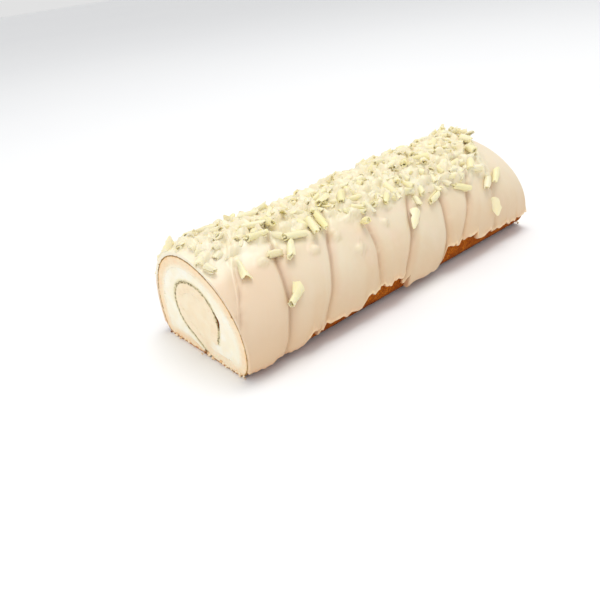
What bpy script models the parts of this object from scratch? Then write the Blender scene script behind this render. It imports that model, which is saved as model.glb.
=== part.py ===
"""White chocolate swiss roll.

A sheet of sponge is spread with pale cream and rolled up, the log is cut off straight at one end and a little
aslant at the other, white chocolate icing is poured over it in slanting bands, and white chocolate curls are
strewn along the top.

Units are metres and +Z is up. The log lies along X with its flat base on z = 0, one cut end at -X and the
other at +X, and the origin is the middle of the base.
"""

import math
import random

import bmesh
import bpy
from mathutils import Matrix, Vector

MM = 0.001

# The sponge log: an arch-shaped section, a little lopsided, with a flat base
LENGTH = 0.243
HALF_WIDTH = 0.0425
CROWN_RISE = 0.0411
CENTRE_HEIGHT = 0.0167
CENTRE_SIDE = 0.0015
LEAN_OF_SECTION = 0.006
SHOULDER_OF_SECTION = -0.006
SLUMP_OF_SECTION = -0.036
BASE_ROUNDING = 0.010
# The sheet rests flat wherever it would come this close to the base
PRESSED_FLAT = 0.0004
# The cut at +X leans back by this share of the height, and everything is moved along from this x on
SLANT = 0.13
SLANT_START = 0.09

# The rolled sheet: its thin tail is tucked under the log, its skin runs once round the outside, is tucked in
# where it comes back to the tail, and goes on round the inner turn
SHEET_THICKNESS = 0.0068
TAIL_THICKNESS = 0.0008
TAIL_TAPER = 0.019
TAIL_ANGLE = math.pi - 0.09
TUCK_ANGLE = 3 * math.pi - 0.24
INNER_TURN_MM = (
    (-2, 2.6),
    (7, 8.2),
    (16, 13.5),
    (21.5, 21.5),
    (21.5, 31),
    (16, 39.3),
    (7, 43.2),
    (-3, 43.4),
    (-12, 40),
    (-18, 33),
    (-19.5, 23),
    (-16.5, 14),
)
OUTER_TURN_STEPS = 120
INNER_TURN_STEPS = 8
SHEET_POINTS = 96
TIP_STEPS = 5
CREAM_START = 1

# Pieces that touch keep this gap
GAP = 0.0003

# The icing: a thin coat with a groove at the seam between one poured band and the next
ICING_THICKNESS = 0.0018
ICING_SWELL = 0.0008
ICING_LIP = 0.0013
SEAM_DEPTH = 0.0009
SEAM_WIDTH = 0.0016
FOOT_ANGLE = 1.9
# Where each seam crosses the crown, in millimetres, how far its front and its back foot lean towards -X, and how
# late the front one bends (1 is straight)
SEAMS_MM = (
    (-95.5, 41, 20, 1),
    (-73.5, 25.5, 32, 1),
    (-30, 45.5, 30, 1),
    (-10, 20.5, 30, 1),
    (36, 49, 25, 1),
    (53.5, 25.5, 35, 1),
    (80, 46.5, 20, 1.7),
    (97, 17, 25, 1),
)
BAND_COLUMNS = (0.3, 0.7)
ICING_ROWS = 26
LIP_ROWS = 1
NARROWEST_COLUMN = 0.0004

# The icing's lower edge: its usual height, and where it has lifted off the sponge (from x, to x, height)
EDGE_HEIGHT = 0.0055
EDGE_WAVE = 0.0006
EDGE_WAVES_PER_METRE = (65, 27)
EDGE_BLEND = 0.005
FRONT_LIFTS_MM = (
    (-81, -77, 12),
    (-76, -43, 8),
    (-43, -5, 15),
    (31, 66, 17),
    (64, 80, 13.5),
    (78, 123, 11.5),
)
BACK_LIFTS_MM = (
    (-96, -70, 10),
    (-22, 14, 14),
    (48, 60, 9),
    (84, 104, 13),
)

# The curls: short rolls of shaved white chocolate, close together over the crown and single lower down
CURL_SEED = 17
CURL_SIDES = 6
CURL_COUNT = 205
CURL_SPACING = 0.0066
CURL_TRIES = 20000
CURL_LENGTHS = (0.0070, 0.0125)
CURL_RADII = (0.0018, 0.0024)
CURL_TAPER = 0.92
CURL_TILTS = (0, 3, 6, 10, 15, 22)
CURL_SUNK = 0.0009
STREWN_X = (-0.1175, 0.1075)
STREWN_BACK = -0.048
STREWN_FRONT = 0.025
STREWN_FRONT_SLOPE = 0.11
# In front of this distance from the crown, the strewn curls end nearer and nearer to -X
STREWN_END_BEND = 0.003
STREWN_END_SLOPE = 0.6
# The curls heaped at the end of the crown at +X: x, distance from the crown along the skin, turn, tilt, length
HEAPED_CURLS_MM = (
    (106.5, 9.5, 130, 14, 9),
    (112, 4, 35, 26, 11),
    (117, -1.5, 70, 16, 8.5),
    (111, -4, 100, 36, 10),
    (116.5, -9, 125, 28, 9.5),
    (110.5, -12, 150, 32, 11),
    (115, -17, 20, 34, 10),
    (110.5, -22, 60, 22, 10),
    (116.5, -25, 100, 20, 9),
    (112, -31, 135, 20, 9),
    (115, -39, 40, 12, 9),
)
# Single curls on the front and back: x, distance from the crown along the skin, turn, tilt, length
SINGLE_CURLS_MM = (
    (-118, 18, 70, 3, 6),
    (-119, -19, 80, 35, 8),
    (-104, 27, 103, 6, 12),
    (-91, 26, 13, 0, 6),
    (-83, 25, 20, 5, 8),
    (-74, 27, 127, 10, 9),
    (-85, 47, 153, 25, 11),
    (-60, 32, 45, 0, 5),
    (-42, 30, 45, 0, 5),
    (-34, 42, 45, 0, 5),
    (-22, 29, 72, 10, 7),
    (-7, 35, 30, 0, 5),
    (13, 41, 145, 6, 13),
    (23, 32, 98, 0, 6),
    (35, 36, 162, 8, 12),
    (62, 38, 33, 3, 11),
    (85, 43, 115, 6, 9),
    (95, 42, 150, 6, 12),
    (82, 54, 138, 15, 9),
    (-96, -58, 35, 5, 9),
    (-52, -55, 80, 5, 8),
    (-9, -60, 15, 5, 10),
    (28, -54, 60, 0, 7),
    (73, -57, 100, 5, 9),
)

# How finely the curved surfaces are cut, and how far cutters reach past what they cut
CUTTER_ANGLE = 2.25
CUTTER_STEPS = 56
CUTTER_REACH = 0.01
ANGLE_STEP = 0.01
SMOOTH_BELOW = math.radians(40)


def clear_scene():
    for old in list(bpy.data.objects):
        bpy.data.objects.remove(old, do_unlink=True)


def make_material(name, colour, roughness):
    material = bpy.data.materials.new(name)
    material.use_nodes = True
    shader = material.node_tree.nodes["Principled BSDF"]
    shader.inputs["Base Color"].default_value = (*colour, 1.0)
    shader.inputs["Roughness"].default_value = roughness
    shader.inputs["Metallic"].default_value = 0.0
    return material


def object_from_bmesh(name, shape, material, collection):
    bmesh.ops.recalc_face_normals(shape, faces=shape.faces)
    mesh = bpy.data.meshes.new(name)
    shape.to_mesh(mesh)
    shape.free()
    mesh.shade_smooth()
    mesh.set_sharp_from_angle(angle=SMOOTH_BELOW)
    mesh.materials.append(material)
    made = bpy.data.objects.new(name, mesh)
    collection.objects.link(made)
    return made


def extrude_section(section, x_low, x_high):
    """A prism along X of a closed (y, z) outline."""
    shape = bmesh.new()
    face = shape.faces.new([shape.verts.new((x_low, y, z)) for y, z in section])
    swept = bmesh.ops.extrude_face_region(shape, geom=[face])
    moved = [item for item in swept["geom"] if isinstance(item, bmesh.types.BMVert)]
    bmesh.ops.translate(shape, verts=moved, vec=(x_high - x_low, 0, 0))
    return shape


def slanted_x(x, z):
    """Where a point of a log with two straight cuts comes to lie along X, as the cut at +X is aslant."""
    return x - SLANT * z * max(0.0, x - SLANT_START) / (LENGTH / 2 - SLANT_START)


def log_along(section):
    """A closed (y, z) outline drawn out to the whole length of the log, between its two cuts."""
    shape = extrude_section(section, -LENGTH / 2, LENGTH / 2)
    for vertex in shape.verts:
        vertex.co.x = slanted_x(vertex.co.x, vertex.co.z)
    return shape


def outline(angle):
    """The sponge's outer skin at an angle round the log: 0 is the crown, positive turns to the front (-Y)."""
    swell = (
        1
        + LEAN_OF_SECTION * math.sin(2 * angle)
        + SHOULDER_OF_SECTION * math.cos(3 * angle)
        + SLUMP_OF_SECTION * math.sin(3 * angle)
    )
    side = CENTRE_SIDE - HALF_WIDTH * swell * math.sin(angle)
    height = CENTRE_HEIGHT + CROWN_RISE * swell * math.cos(angle)
    blend = min(1.0, max(0.0, 0.5 + 0.5 * height / BASE_ROUNDING))
    return Vector((side, blend * height + BASE_ROUNDING * blend * (1 - blend)))


def outward(angle):
    """The direction straight out of the skin at that angle."""
    along = outline(angle + ANGLE_STEP) - outline(angle - ANGLE_STEP)
    return Vector((along.y, -along.x)).normalized()


def smooth_path(points, steps):
    """A curve through the points, the ends included, with that many steps between two of them."""
    held = [points[0] * 2 - points[1], *points, points[-1] * 2 - points[-2]]
    path = []
    for before, start, end, after in zip(held, held[1:], held[2:], held[3:]):
        for step in range(steps):
            t = step / steps
            path.append(
                0.5
                * (
                    2 * start
                    + (end - before) * t
                    + (2 * before - 5 * start + 4 * end - after) * t**2
                    + (3 * start - before - 3 * end + after) * t**3
                )
            )
    path.append(points[-1])
    return path


def path_length(path):
    return sum((end - start).length for start, end in zip(path, path[1:]))


def resample(path, count):
    """The same path as evenly spaced points."""
    spacing = path_length(path) / (count - 1)
    spaced, passed, want = [path[0]], 0.0, spacing
    for start, end in zip(path, path[1:]):
        piece = (end - start).length
        while want <= passed + piece and len(spaced) < count - 1:
            spaced.append(start.lerp(end, (want - passed) / piece))
            want += spacing
        passed += piece
    spaced.append(path[-1])
    return spaced


def offset_path(path, distances):
    """The path moved to its left, point by point."""
    last = len(path) - 1
    moved = []
    for i, (point, distance) in enumerate(zip(path, distances)):
        along = (path[min(i + 2, last)] - path[max(i - 2, 0)]).normalized()
        moved.append(point + Vector((-along.y, along.x)) * distance)
    return moved


def half_round(start, end):
    """The points between start and end on the half circle that closes the sheet's inner end."""
    middle = (start + end) / 2
    return [
        middle + Matrix.Rotation(math.pi * step / TIP_STEPS, 2) @ (start - middle)
        for step in range(1, TIP_STEPS)
    ]


def sheet_lines():
    """The sheet's skin line from its tail to its inner end, its thickness there, and the inner turn's first point."""
    outer_turn = [
        outline(TAIL_ANGLE + (TUCK_ANGLE - TAIL_ANGLE) * step / OUTER_TURN_STEPS)
        for step in range(OUTER_TURN_STEPS + 1)
    ]
    bends = [Vector((y, z)) * MM for y, z in INNER_TURN_MM]
    inner_turn = smooth_path([outer_turn[-1], *bends], INNER_TURN_STEPS)
    whole = outer_turn + inner_turn[1:]
    length = path_length(whole)
    skin = resample(whole, SHEET_POINTS)
    for point in skin:
        if point.y < PRESSED_FLAT:
            point.y = 0.0
    thickness = []
    for number in range(SHEET_POINTS):
        grown = min(1.0, length * number / (SHEET_POINTS - 1) / TAIL_TAPER)
        thickness.append(TAIL_THICKNESS + (SHEET_THICKNESS - TAIL_THICKNESS) * grown)
    inner_start = round(path_length(outer_turn) / length * (SHEET_POINTS - 1))
    return skin, thickness, inner_start


def sheet_section(skin, thickness):
    crumb_side = offset_path(skin, thickness)
    return skin + half_round(skin[-1], crumb_side[-1]) + crumb_side[::-1]


def cream_section(skin, thickness, inner_start):
    """All that the sheet leaves free: the band between its turns, and the core that the band runs into."""
    on_crumb = offset_path(skin, [each + GAP for each in thickness])
    on_skin = offset_path(skin, [-GAP] * len(skin))
    round_the_tip = half_round(on_skin[-1], on_crumb[-1])[::-1]
    return on_crumb[CREAM_START:] + round_the_tip + on_skin[: inner_start + CREAM_START : -1]


def seam_x(seam, angle):
    """Where a seam lies along the log, at an angle round it."""
    crest, front_lean, back_lean, bend = seam
    share = abs(angle) / FOOT_ANGLE
    return (crest - (front_lean * share**bend if angle > 0 else back_lean * share)) * MM


def edge_height(x, lifts):
    """How high the icing's lower edge is at x."""
    height = EDGE_HEIGHT
    for waves in EDGE_WAVES_PER_METRE:
        height += EDGE_WAVE * math.sin(2 * math.pi * waves * x)
    for start, end, lifted in lifts:
        inside = min(x - start * MM, end * MM - x) / EDGE_BLEND
        share = min(1.0, max(0.0, 0.5 + inside))
        height = max(height, EDGE_HEIGHT + (lifted * MM - EDGE_HEIGHT) * share)
    return height


def edge_angle(x, side):
    """The angle at which the icing ends, on the front (side 1) or on the back (side -1)."""
    height = edge_height(x, FRONT_LIFTS_MM if side > 0 else BACK_LIFTS_MM)
    above, below = 1.2, 2.6
    while below - above > 1e-6:
        middle = (above + below) / 2
        if outline(side * middle).y > height:
            above = middle
        else:
            below = middle
    return side * above


def icing_columns():
    """The lines round the log that carry the icing's surface: two seams, how far from the first to the second, a
    shift along X, and the icing's thickness on the line."""
    near_end = (-LENGTH / 2 / MM, 0, 0, 1)
    far_end = (LENGTH / 2 / MM, 0, 0, 1)
    borders = [near_end, *SEAMS_MM, far_end]
    columns = [(near_end, near_end, 0, 0, ICING_THICKNESS)]
    for start, end in zip(borders, borders[1:]):
        for share in BAND_COLUMNS:
            columns.append((start, end, share, 0, ICING_THICKNESS + ICING_SWELL))
        if end != far_end:
            columns.append((end, end, 0, -SEAM_WIDTH / 2, ICING_THICKNESS))
            columns.append((end, end, 0, 0, ICING_THICKNESS - SEAM_DEPTH))
            columns.append((end, end, 0, SEAM_WIDTH / 2, ICING_THICKNESS))
    columns.append((far_end, far_end, 0, 0, ICING_THICKNESS))
    return columns


def column_x(column, number, angle):
    """The column's place along X, held clear of the near end, where the first seam runs off the log."""
    start, end, share, shift, _ = column
    x = seam_x(start, angle) * (1 - share) + seam_x(end, angle) * share + shift
    return max(x, -LENGTH / 2 + number * NARROWEST_COLUMN)


def make_icing_loaf(material, collection):
    """The icing with its inside still full: its outer surface, closed flat below and at the two cuts."""
    shape = bmesh.new()
    grid = []
    for number, column in enumerate(icing_columns()):
        foot = {side: edge_angle(column_x(column, number, side * FOOT_ANGLE), side) for side in (1, -1)}
        line = []
        for row in range(ICING_ROWS):
            share = 2 * row / (ICING_ROWS - 1) - 1
            angle = abs(share) * foot[1 if share > 0 else -1]
            on_lip = row < LIP_ROWS or row >= ICING_ROWS - LIP_ROWS
            thickness = min(column[-1], ICING_LIP) if on_lip else column[-1]
            y, z = outline(angle) + outward(angle) * (GAP + thickness)
            line.append(shape.verts.new((slanted_x(column_x(column, number, angle), z), y, z)))
        grid.append(line)
    for left, right in zip(grid, grid[1:]):
        for row in range(ICING_ROWS - 1):
            shape.faces.new((left[row], left[row + 1], right[row + 1], right[row]))
        shape.faces.new((left[0], right[0], right[-1], left[-1]))
    shape.faces.new(grid[0])
    shape.faces.new(grid[-1])
    return object_from_bmesh("icing", shape, material, collection)


def make_log_cutter(material, collection):
    """The room that the log and the gap round it take out of the icing."""
    arch = []
    for step in range(CUTTER_STEPS + 1):
        angle = CUTTER_ANGLE * (1 - 2 * step / CUTTER_STEPS)
        arch.append(outline(angle) + outward(angle) * GAP)
    feet = [Vector((arch[-1].x, -CUTTER_REACH)), Vector((arch[0].x, -CUTTER_REACH))]
    shape = extrude_section(arch + feet, -LENGTH / 2 - CUTTER_REACH, LENGTH / 2 + CUTTER_REACH)
    cutter = object_from_bmesh("log_cutter", shape, material, collection)
    cutter.hide_render = True
    cutter.display_type = "WIRE"
    return cutter


def apply_boolean(target, operation, operand):
    """Cuts an object from the target, or joins all of a collection to it, for good."""
    modifier = target.modifiers.new("join", "BOOLEAN")
    modifier.operation = operation
    modifier.solver = "EXACT"
    if isinstance(operand, bpy.types.Collection):
        modifier.operand_type = "COLLECTION"
        modifier.collection = operand
    else:
        modifier.object = operand
    graph = bpy.context.evaluated_depsgraph_get()
    joined = bpy.data.meshes.new_from_object(target.evaluated_get(graph))
    target.modifiers.remove(modifier)
    target.data = joined


def angle_at(distance):
    """The angle of the point that lies this far from the crown along the skin, to the front if positive."""
    side = 1 if distance > 0 else -1
    angle, walked = 0.0, 0.0
    while walked < abs(distance):
        walked += (outline(side * (angle + ANGLE_STEP)) - outline(side * angle)).length
        angle += ANGLE_STEP
    return side * angle


def strewn_curls():
    """The curls over the crown, none nearer to another than the spacing: x, distance from the crown along the
    skin, turn, tilt, length and radius."""
    draw = random.Random(CURL_SEED)
    curls = []
    for _ in range(CURL_TRIES):
        x = draw.uniform(*STREWN_X)
        across = draw.uniform(STREWN_BACK, STREWN_FRONT + STREWN_FRONT_SLOPE * x)
        if any(math.hypot(x - other[0], across - other[1]) < CURL_SPACING for other in curls):
            continue
        turn = draw.uniform(0, 180)
        tilt = draw.choice(CURL_TILTS)
        length = draw.uniform(*CURL_LENGTHS)
        curls.append((x, across, turn, tilt, length, draw.uniform(*CURL_RADII)))
        if len(curls) == CURL_COUNT:
            break
    return [
        curl for curl in curls if curl[0] < STREWN_X[1] - STREWN_END_SLOPE * max(0.0, curl[1] - STREWN_END_BEND)
    ]


def single_curls():
    """The curls whose places are given one by one."""
    radius = sum(CURL_RADII) / 2
    return [
        (x * MM, across * MM, turn, tilt, length * MM, radius)
        for x, across, turn, tilt, length in HEAPED_CURLS_MM + SINGLE_CURLS_MM
    ]


def make_curl(number, curl, material, collection):
    """One curl, as a short solid roll on the icing with its underside, or its lower end, sunk in."""
    x, across, turn, tilt, length, radius = curl
    angle = angle_at(across)
    y, z = outline(angle)
    normal = Vector((0, *outward(angle)))
    downhill = Vector((0, -normal.z, normal.y))
    turned, raised = math.radians(turn), math.radians(tilt)
    flat = Vector((math.cos(turned), 0, 0)) + downhill * math.sin(turned)
    axis = flat * math.cos(raised) + normal * math.sin(raised)
    lift = GAP + ICING_THICKNESS + ICING_SWELL / 2 + radius - CURL_SUNK + math.sin(raised) * length / 2
    shape = bmesh.new()
    bmesh.ops.create_cone(
        shape,
        cap_ends=True,
        segments=CURL_SIDES,
        radius1=radius,
        radius2=radius * CURL_TAPER,
        depth=length,
    )
    turn_to_axis = Vector((0, 0, 1)).rotation_difference(axis).to_matrix().to_4x4()
    place = Matrix.Translation(Vector((slanted_x(x, z), y, z)) + normal * lift) @ turn_to_axis
    bmesh.ops.transform(shape, matrix=place, verts=shape.verts)
    return object_from_bmesh(f"curl_{number:03d}", shape, material, collection)


def connected_groups(shape):
    """The mesh's vertices, in one set for each separate piece."""
    waiting = set(shape.verts)
    groups = []
    while waiting:
        group, reached = set(), [next(iter(waiting))]
        while reached:
            vertex = reached.pop()
            if vertex not in group:
                group.add(vertex)
                reached.extend(edge.other_vert(vertex) for edge in vertex.link_edges)
        waiting -= group
        groups.append(group)
    return groups


def drop_scraps(target):
    """Keeps the target's largest piece, without loose scraps and the walls of sealed hollows."""
    shape = bmesh.new()
    shape.from_mesh(target.data)
    kept = max(connected_groups(shape), key=len)
    bmesh.ops.delete(shape, geom=[vertex for vertex in shape.verts if vertex not in kept], context="VERTS")
    shape.to_mesh(target.data)
    shape.free()


def make_icing(material, parts, cutters, toppings):
    """The coat of icing over the log, with the curls joined to it."""
    icing = make_icing_loaf(material, parts)
    apply_boolean(icing, "DIFFERENCE", make_log_cutter(material, cutters))
    curls = [
        make_curl(number, curl, material, toppings)
        for number, curl in enumerate(strewn_curls() + single_curls())
    ]
    apply_boolean(icing, "UNION", toppings)
    for curl in curls:
        bpy.data.objects.remove(curl, do_unlink=True)
    bpy.data.collections.remove(toppings)
    drop_scraps(icing)


def build():
    clear_scene()
    parts = bpy.data.collections.new("white_chocolate_swiss_roll")
    cutters = bpy.data.collections.new("cutters")
    toppings = bpy.data.collections.new("curls")
    for collection in (parts, cutters, toppings):
        bpy.context.scene.collection.children.link(collection)

    sponge = make_material("sponge", (0.93, 0.72, 0.45), 0.9)
    cream = make_material("white chocolate cream", (0.97, 0.90, 0.74), 0.6)
    icing = make_material("white chocolate icing", (0.86, 0.71, 0.52), 0.4)

    skin, thickness, inner_start = sheet_lines()
    object_from_bmesh("sponge", log_along(sheet_section(skin, thickness)), sponge, parts)
    object_from_bmesh("cream_filling", log_along(cream_section(skin, thickness, inner_start)), cream, parts)
    make_icing(icing, parts, cutters, toppings)


build()
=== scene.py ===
"""White chocolate swiss roll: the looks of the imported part.

Metres, +Z up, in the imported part's own frame: the log lies along X on the floor, with the cut end that the
camera sees at -X and the iced side that it sees at -Y.
"""

import math
import random

import bmesh
import bpy
import numpy as np
from mathutils import Matrix, Vector, geometry, kdtree


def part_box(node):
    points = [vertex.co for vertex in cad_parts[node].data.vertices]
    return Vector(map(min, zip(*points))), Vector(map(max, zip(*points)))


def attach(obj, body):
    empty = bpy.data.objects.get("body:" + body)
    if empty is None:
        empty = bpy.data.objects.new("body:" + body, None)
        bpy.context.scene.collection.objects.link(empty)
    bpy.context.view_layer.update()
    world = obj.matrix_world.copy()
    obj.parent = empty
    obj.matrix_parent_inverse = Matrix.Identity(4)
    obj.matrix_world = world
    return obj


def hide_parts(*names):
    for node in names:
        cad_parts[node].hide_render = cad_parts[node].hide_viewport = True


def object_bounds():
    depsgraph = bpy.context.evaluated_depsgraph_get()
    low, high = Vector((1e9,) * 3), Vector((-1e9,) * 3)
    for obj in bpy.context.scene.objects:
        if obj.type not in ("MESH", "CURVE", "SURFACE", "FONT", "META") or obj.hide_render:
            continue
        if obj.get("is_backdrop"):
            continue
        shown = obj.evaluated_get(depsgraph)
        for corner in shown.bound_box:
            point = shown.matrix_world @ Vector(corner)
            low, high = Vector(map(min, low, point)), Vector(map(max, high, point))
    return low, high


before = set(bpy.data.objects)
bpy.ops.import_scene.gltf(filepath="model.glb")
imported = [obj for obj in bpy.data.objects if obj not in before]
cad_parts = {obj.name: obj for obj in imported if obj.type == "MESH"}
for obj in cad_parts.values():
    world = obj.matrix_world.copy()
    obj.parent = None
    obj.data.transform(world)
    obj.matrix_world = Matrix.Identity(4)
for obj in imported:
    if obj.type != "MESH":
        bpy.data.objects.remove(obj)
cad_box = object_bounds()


# The rolled sponge
# One thin baked sheet with a golden skin, spread with cream and rolled up, its tail tucked flat under the
# log. A knife cut the log off at both ends, so that they show the open crumb and the edge of the skin.
MM = 0.001
HALF_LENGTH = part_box("sponge")[1].x
HALF_WIDTH = 0.0425
CROWN_RISE = 0.0411
CENTRE_HEIGHT = 0.0167
CENTRE_SIDE = 0.0015
LEAN_OF_SECTION = 0.006
SHOULDER_OF_SECTION = -0.006
SLUMP_OF_SECTION = -0.036
BASE_ROUNDING = 0.010
PRESSED_FLAT = 0.0004
SHEET_THICKNESS = 0.0068
TAIL_THICKNESS = 0.0008
TAIL_TAPER = 0.019
TAIL_ANGLE = math.pi - 0.09
TUCK_ANGLE = 3 * math.pi - 0.24
# The skin of the inner turn goes through these places: y and z, in millimetres
INNER_TURN_MM = (
    (-2, 2.6), (7, 8.2), (16, 13.5), (21.5, 21.5), (21.5, 31), (16, 39.3),
    (7, 43.2), (-3, 43.4), (-12, 40), (-18, 33), (-19.5, 23), (-16.5, 14),
)
OUTER_TURN_POINTS = 121
INNER_TURN_STEPS = 8
SHEET_POINTS = 96
LOOP_STEPS = 5
TIP_STEPS = 9
# The points in a cut face: their spacing, and which shares of it they stray and stay clear of the outline
CRUMB_SPACING = 0.00062
CRUMB_STRAY = 0.2
CRUMB_CLEAR = 0.6
FACE_SEED = 5
# Along the log the skin has this many steps where it shows below the icing, between these heights, and one
# for every so many of them where it is hidden
SKIN_STEPS = 160
HIDDEN_STEP = 16
SHOWN_SKIN = (0.0005, 0.0245)
# The cut at +X leans back by this share of the height, and everything is moved along from this x on
SLANT = 0.13
SLANT_START = 0.09
# The sizes by which a cut face is roughened
CRUMB_SIZES = ("Pore Size", "Pore Depth", "Lump Size", "Lump Depth", "Seed")


def plug(given, entry):
    """Gives a node's input a fixed value, or the output that a Value stands for."""
    if isinstance(given, Value):
        given.tree.links.new(given.socket, entry)
    else:
        entry.default_value = given


def add(tree, kind, given=None, output=0, **settings):
    """Adds a node with these inputs and settings to a tree, and returns one of its outputs."""
    node = tree.nodes.new(kind)
    for name, setting in settings.items():
        setattr(node, name, setting)
    for name, value in (given or {}).items():
        plug(value, node.inputs[name])
    return Value(tree, node.outputs[output])


class Value:
    """A number or vector that a node tree works out at every point. Arithmetic on it adds Math nodes."""

    def __init__(self, tree, socket):
        self.tree = tree
        self.socket = socket

    def math(self, operation, *others):
        return add(self.tree, "ShaderNodeMath", dict(enumerate((self, *others))), operation=operation)

    def __rsub__(self, other):
        return self.math("MULTIPLY", -1.0) + other

    def __rtruediv__(self, other):
        return self.math("POWER", -1.0) * other

    def clip(self, low, high):
        return self.math("MAXIMUM", low).math("MINIMUM", high)

    def fade(self, start, end):
        """Rises smoothly from 0 at start to 1 at end."""
        given = {0: self, 1: start, 2: end}
        return add(self.tree, "ShaderNodeMapRange", given, interpolation_type="SMOOTHSTEP")

    def scaled(self, length):
        """The vector, times a number."""
        given = {"Vector": self, "Scale": length}
        return add(self.tree, "ShaderNodeVectorMath", given, operation="SCALE")

    def split(self):
        """The vector's three parts."""
        node = self.tree.nodes.new("ShaderNodeSeparateXYZ")
        plug(self, node.inputs[0])
        return [Value(self.tree, out) for out in node.outputs]


# The Math node behind each of Python's signs, and behind numpy's functions of the same names
SIGNS = {
    "__add__": "ADD",
    "__radd__": "ADD",
    "__sub__": "SUBTRACT",
    "__mul__": "MULTIPLY",
    "__rmul__": "MULTIPLY",
    "__truediv__": "DIVIDE",
    "__pow__": "POWER",
    "__abs__": "ABSOLUTE",
    "sin": "SINE",
    "cos": "COSINE",
    "exp": "EXPONENT",
    "sqrt": "SQRT",
}
for sign, operation in SIGNS.items():
    setattr(Value, sign, lambda value, *others, operation=operation: value.math(operation, *others))


def noise(place, size, seed, detail=2.0):
    """Cloudy noise round 0.5, with lumps of this size."""
    given = {"Vector": place, "W": seed, "Scale": 1 / size, "Detail": detail}
    return add(place.tree, "ShaderNodeTexNoise", given, noise_dimensions="4D")


def cells(place, size, seed):
    """The distance to the nearest of many scattered points, in cells of this size."""
    given = {"Vector": place, "W": seed, "Scale": 1 / size}
    return add(place.tree, "ShaderNodeTexVoronoi", given, voronoi_dimensions="4D")


def start_tree(name, sizes):
    """A Geometry Nodes tree with these named sizes, and what its inputs give."""
    tree = bpy.data.node_groups.new(name, "GeometryNodeTree")
    tree.interface.new_socket("Geometry", in_out="OUTPUT", socket_type="NodeSocketGeometry")
    tree.interface.new_socket("Geometry", in_out="INPUT", socket_type="NodeSocketGeometry")
    for size in sizes:
        tree.interface.new_socket(size, in_out="INPUT", socket_type="NodeSocketFloat")
    entry = tree.nodes.new("NodeGroupInput")
    return tree, {out.name: Value(tree, out) for out in entry.outputs if out.name}


def end_tree(tree, shape, material):
    """Makes real meshes of what the tree has placed, gives them their material and hands them over."""
    real = add(tree, "GeometryNodeRealizeInstances", {"Geometry": shape})
    painted = add(tree, "GeometryNodeSetMaterial", {"Geometry": real, "Material": material})
    way_out = tree.nodes.new("NodeGroupOutput")
    plug(painted, way_out.inputs[0])


def run_tree(piece, tree, sizes):
    """Runs the tree on a piece with these sizes, and keeps what comes out as the piece's plain mesh."""
    modifier = piece.modifiers.new(tree.name, "NODES")
    modifier.node_group = tree
    for entry in tree.interface.items_tree:
        if entry.name in sizes:
            modifier[entry.identifier] = float(sizes[entry.name])
    graph = bpy.context.evaluated_depsgraph_get()
    made = bpy.data.meshes.new_from_object(piece.evaluated_get(graph))
    piece.modifiers.remove(modifier)
    piece.data = made


def carry(mesh, name, numbers):
    """Gives each point of a mesh its number, under this name."""
    layer = mesh.attributes.new(name, "FLOAT", "POINT")
    layer.data.foreach_set("value", np.asarray(numbers, np.float32))


def new_piece(name, points, faces, carried=None):
    """A mesh object, with what its points carry."""
    mesh = bpy.data.meshes.new(name)
    mesh.from_pydata([tuple(map(float, point)) for point in points], [], faces)
    for attribute, numbers in (carried or {}).items():
        carry(mesh, attribute, numbers)
    piece = bpy.data.objects.new(name, mesh)
    bpy.context.scene.collection.objects.link(piece)
    return piece


def hand_over(piece, node, sharp_from=math.radians(50)):
    """Turns the faces outwards, smooths them, and puts the piece on the body in its node's place."""
    shape = bmesh.new()
    shape.from_mesh(piece.data)
    bmesh.ops.recalc_face_normals(shape, faces=shape.faces)
    shape.to_mesh(piece.data)
    shape.free()
    piece.data.shade_smooth()
    piece.data.set_sharp_from_angle(angle=sharp_from)
    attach(piece, "root")
    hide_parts(node)


def paint(red, green, blue):
    """A colour as a screen shows it, from 0 to 255, for a shader."""
    parts = [part / 255 for part in (red, green, blue)]
    linear = [part / 12.92 if part <= 0.04045 else ((part + 0.055) / 1.055) ** 2.4 for part in parts]
    return (*linear, 1.0)


def start_material(name, roughness, specular, glow=()):
    """A material with its tree, its shader node and the place on the piece. The glow is how light spreads
    inside: its share, how far each colour reaches, and the length of that reach."""
    material = bpy.data.materials.new(name)
    material.use_nodes = True
    tree = material.node_tree
    shader = tree.nodes["Principled BSDF"]
    sockets = (
        "Roughness",
        "Specular IOR Level",
        "Subsurface Weight",
        "Subsurface Radius",
        "Subsurface Scale",
    )
    for socket, setting in zip(sockets, (roughness, specular, *glow)):
        shader.inputs[socket].default_value = setting
    place = add(tree, "ShaderNodeTexCoord", output="Object")
    return material, tree, shader, place


def blend(share, *colours):
    """The first of two colours where share is 0 and the second where it is 1."""
    first, second = [colour if isinstance(colour, Value) else paint(*colour) for colour in colours]
    return add(share.tree, "ShaderNodeMix", {0: share, 6: first, 7: second}, output=2, data_type="RGBA")


def carried(tree, attribute):
    """What the piece's points carry under this name, in a material."""
    return add(tree, "ShaderNodeAttribute", output="Fac", attribute_name=attribute)


def roughen(shader, height, depth):
    """Fine relief of this depth in metres."""
    given = {"Height": height, "Distance": depth, "Strength": 1.0}
    plug(add(height.tree, "ShaderNodeBump", given), shader.inputs["Normal"])


def outline(angle):
    """The log's skin at an angle round it: 0 is the crown, and positive turns to the front (-Y)."""
    swell = (
        1
        + LEAN_OF_SECTION * np.sin(2 * angle)
        + SHOULDER_OF_SECTION * np.cos(3 * angle)
        + SLUMP_OF_SECTION * np.sin(3 * angle)
    )
    side = CENTRE_SIDE - HALF_WIDTH * swell * np.sin(angle)
    height = CENTRE_HEIGHT + CROWN_RISE * swell * np.cos(angle)
    mixed = (0.5 + 0.5 * height / BASE_ROUNDING).clip(0.0, 1.0)
    return side, mixed * height + BASE_ROUNDING * mixed * (1 - mixed)


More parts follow.
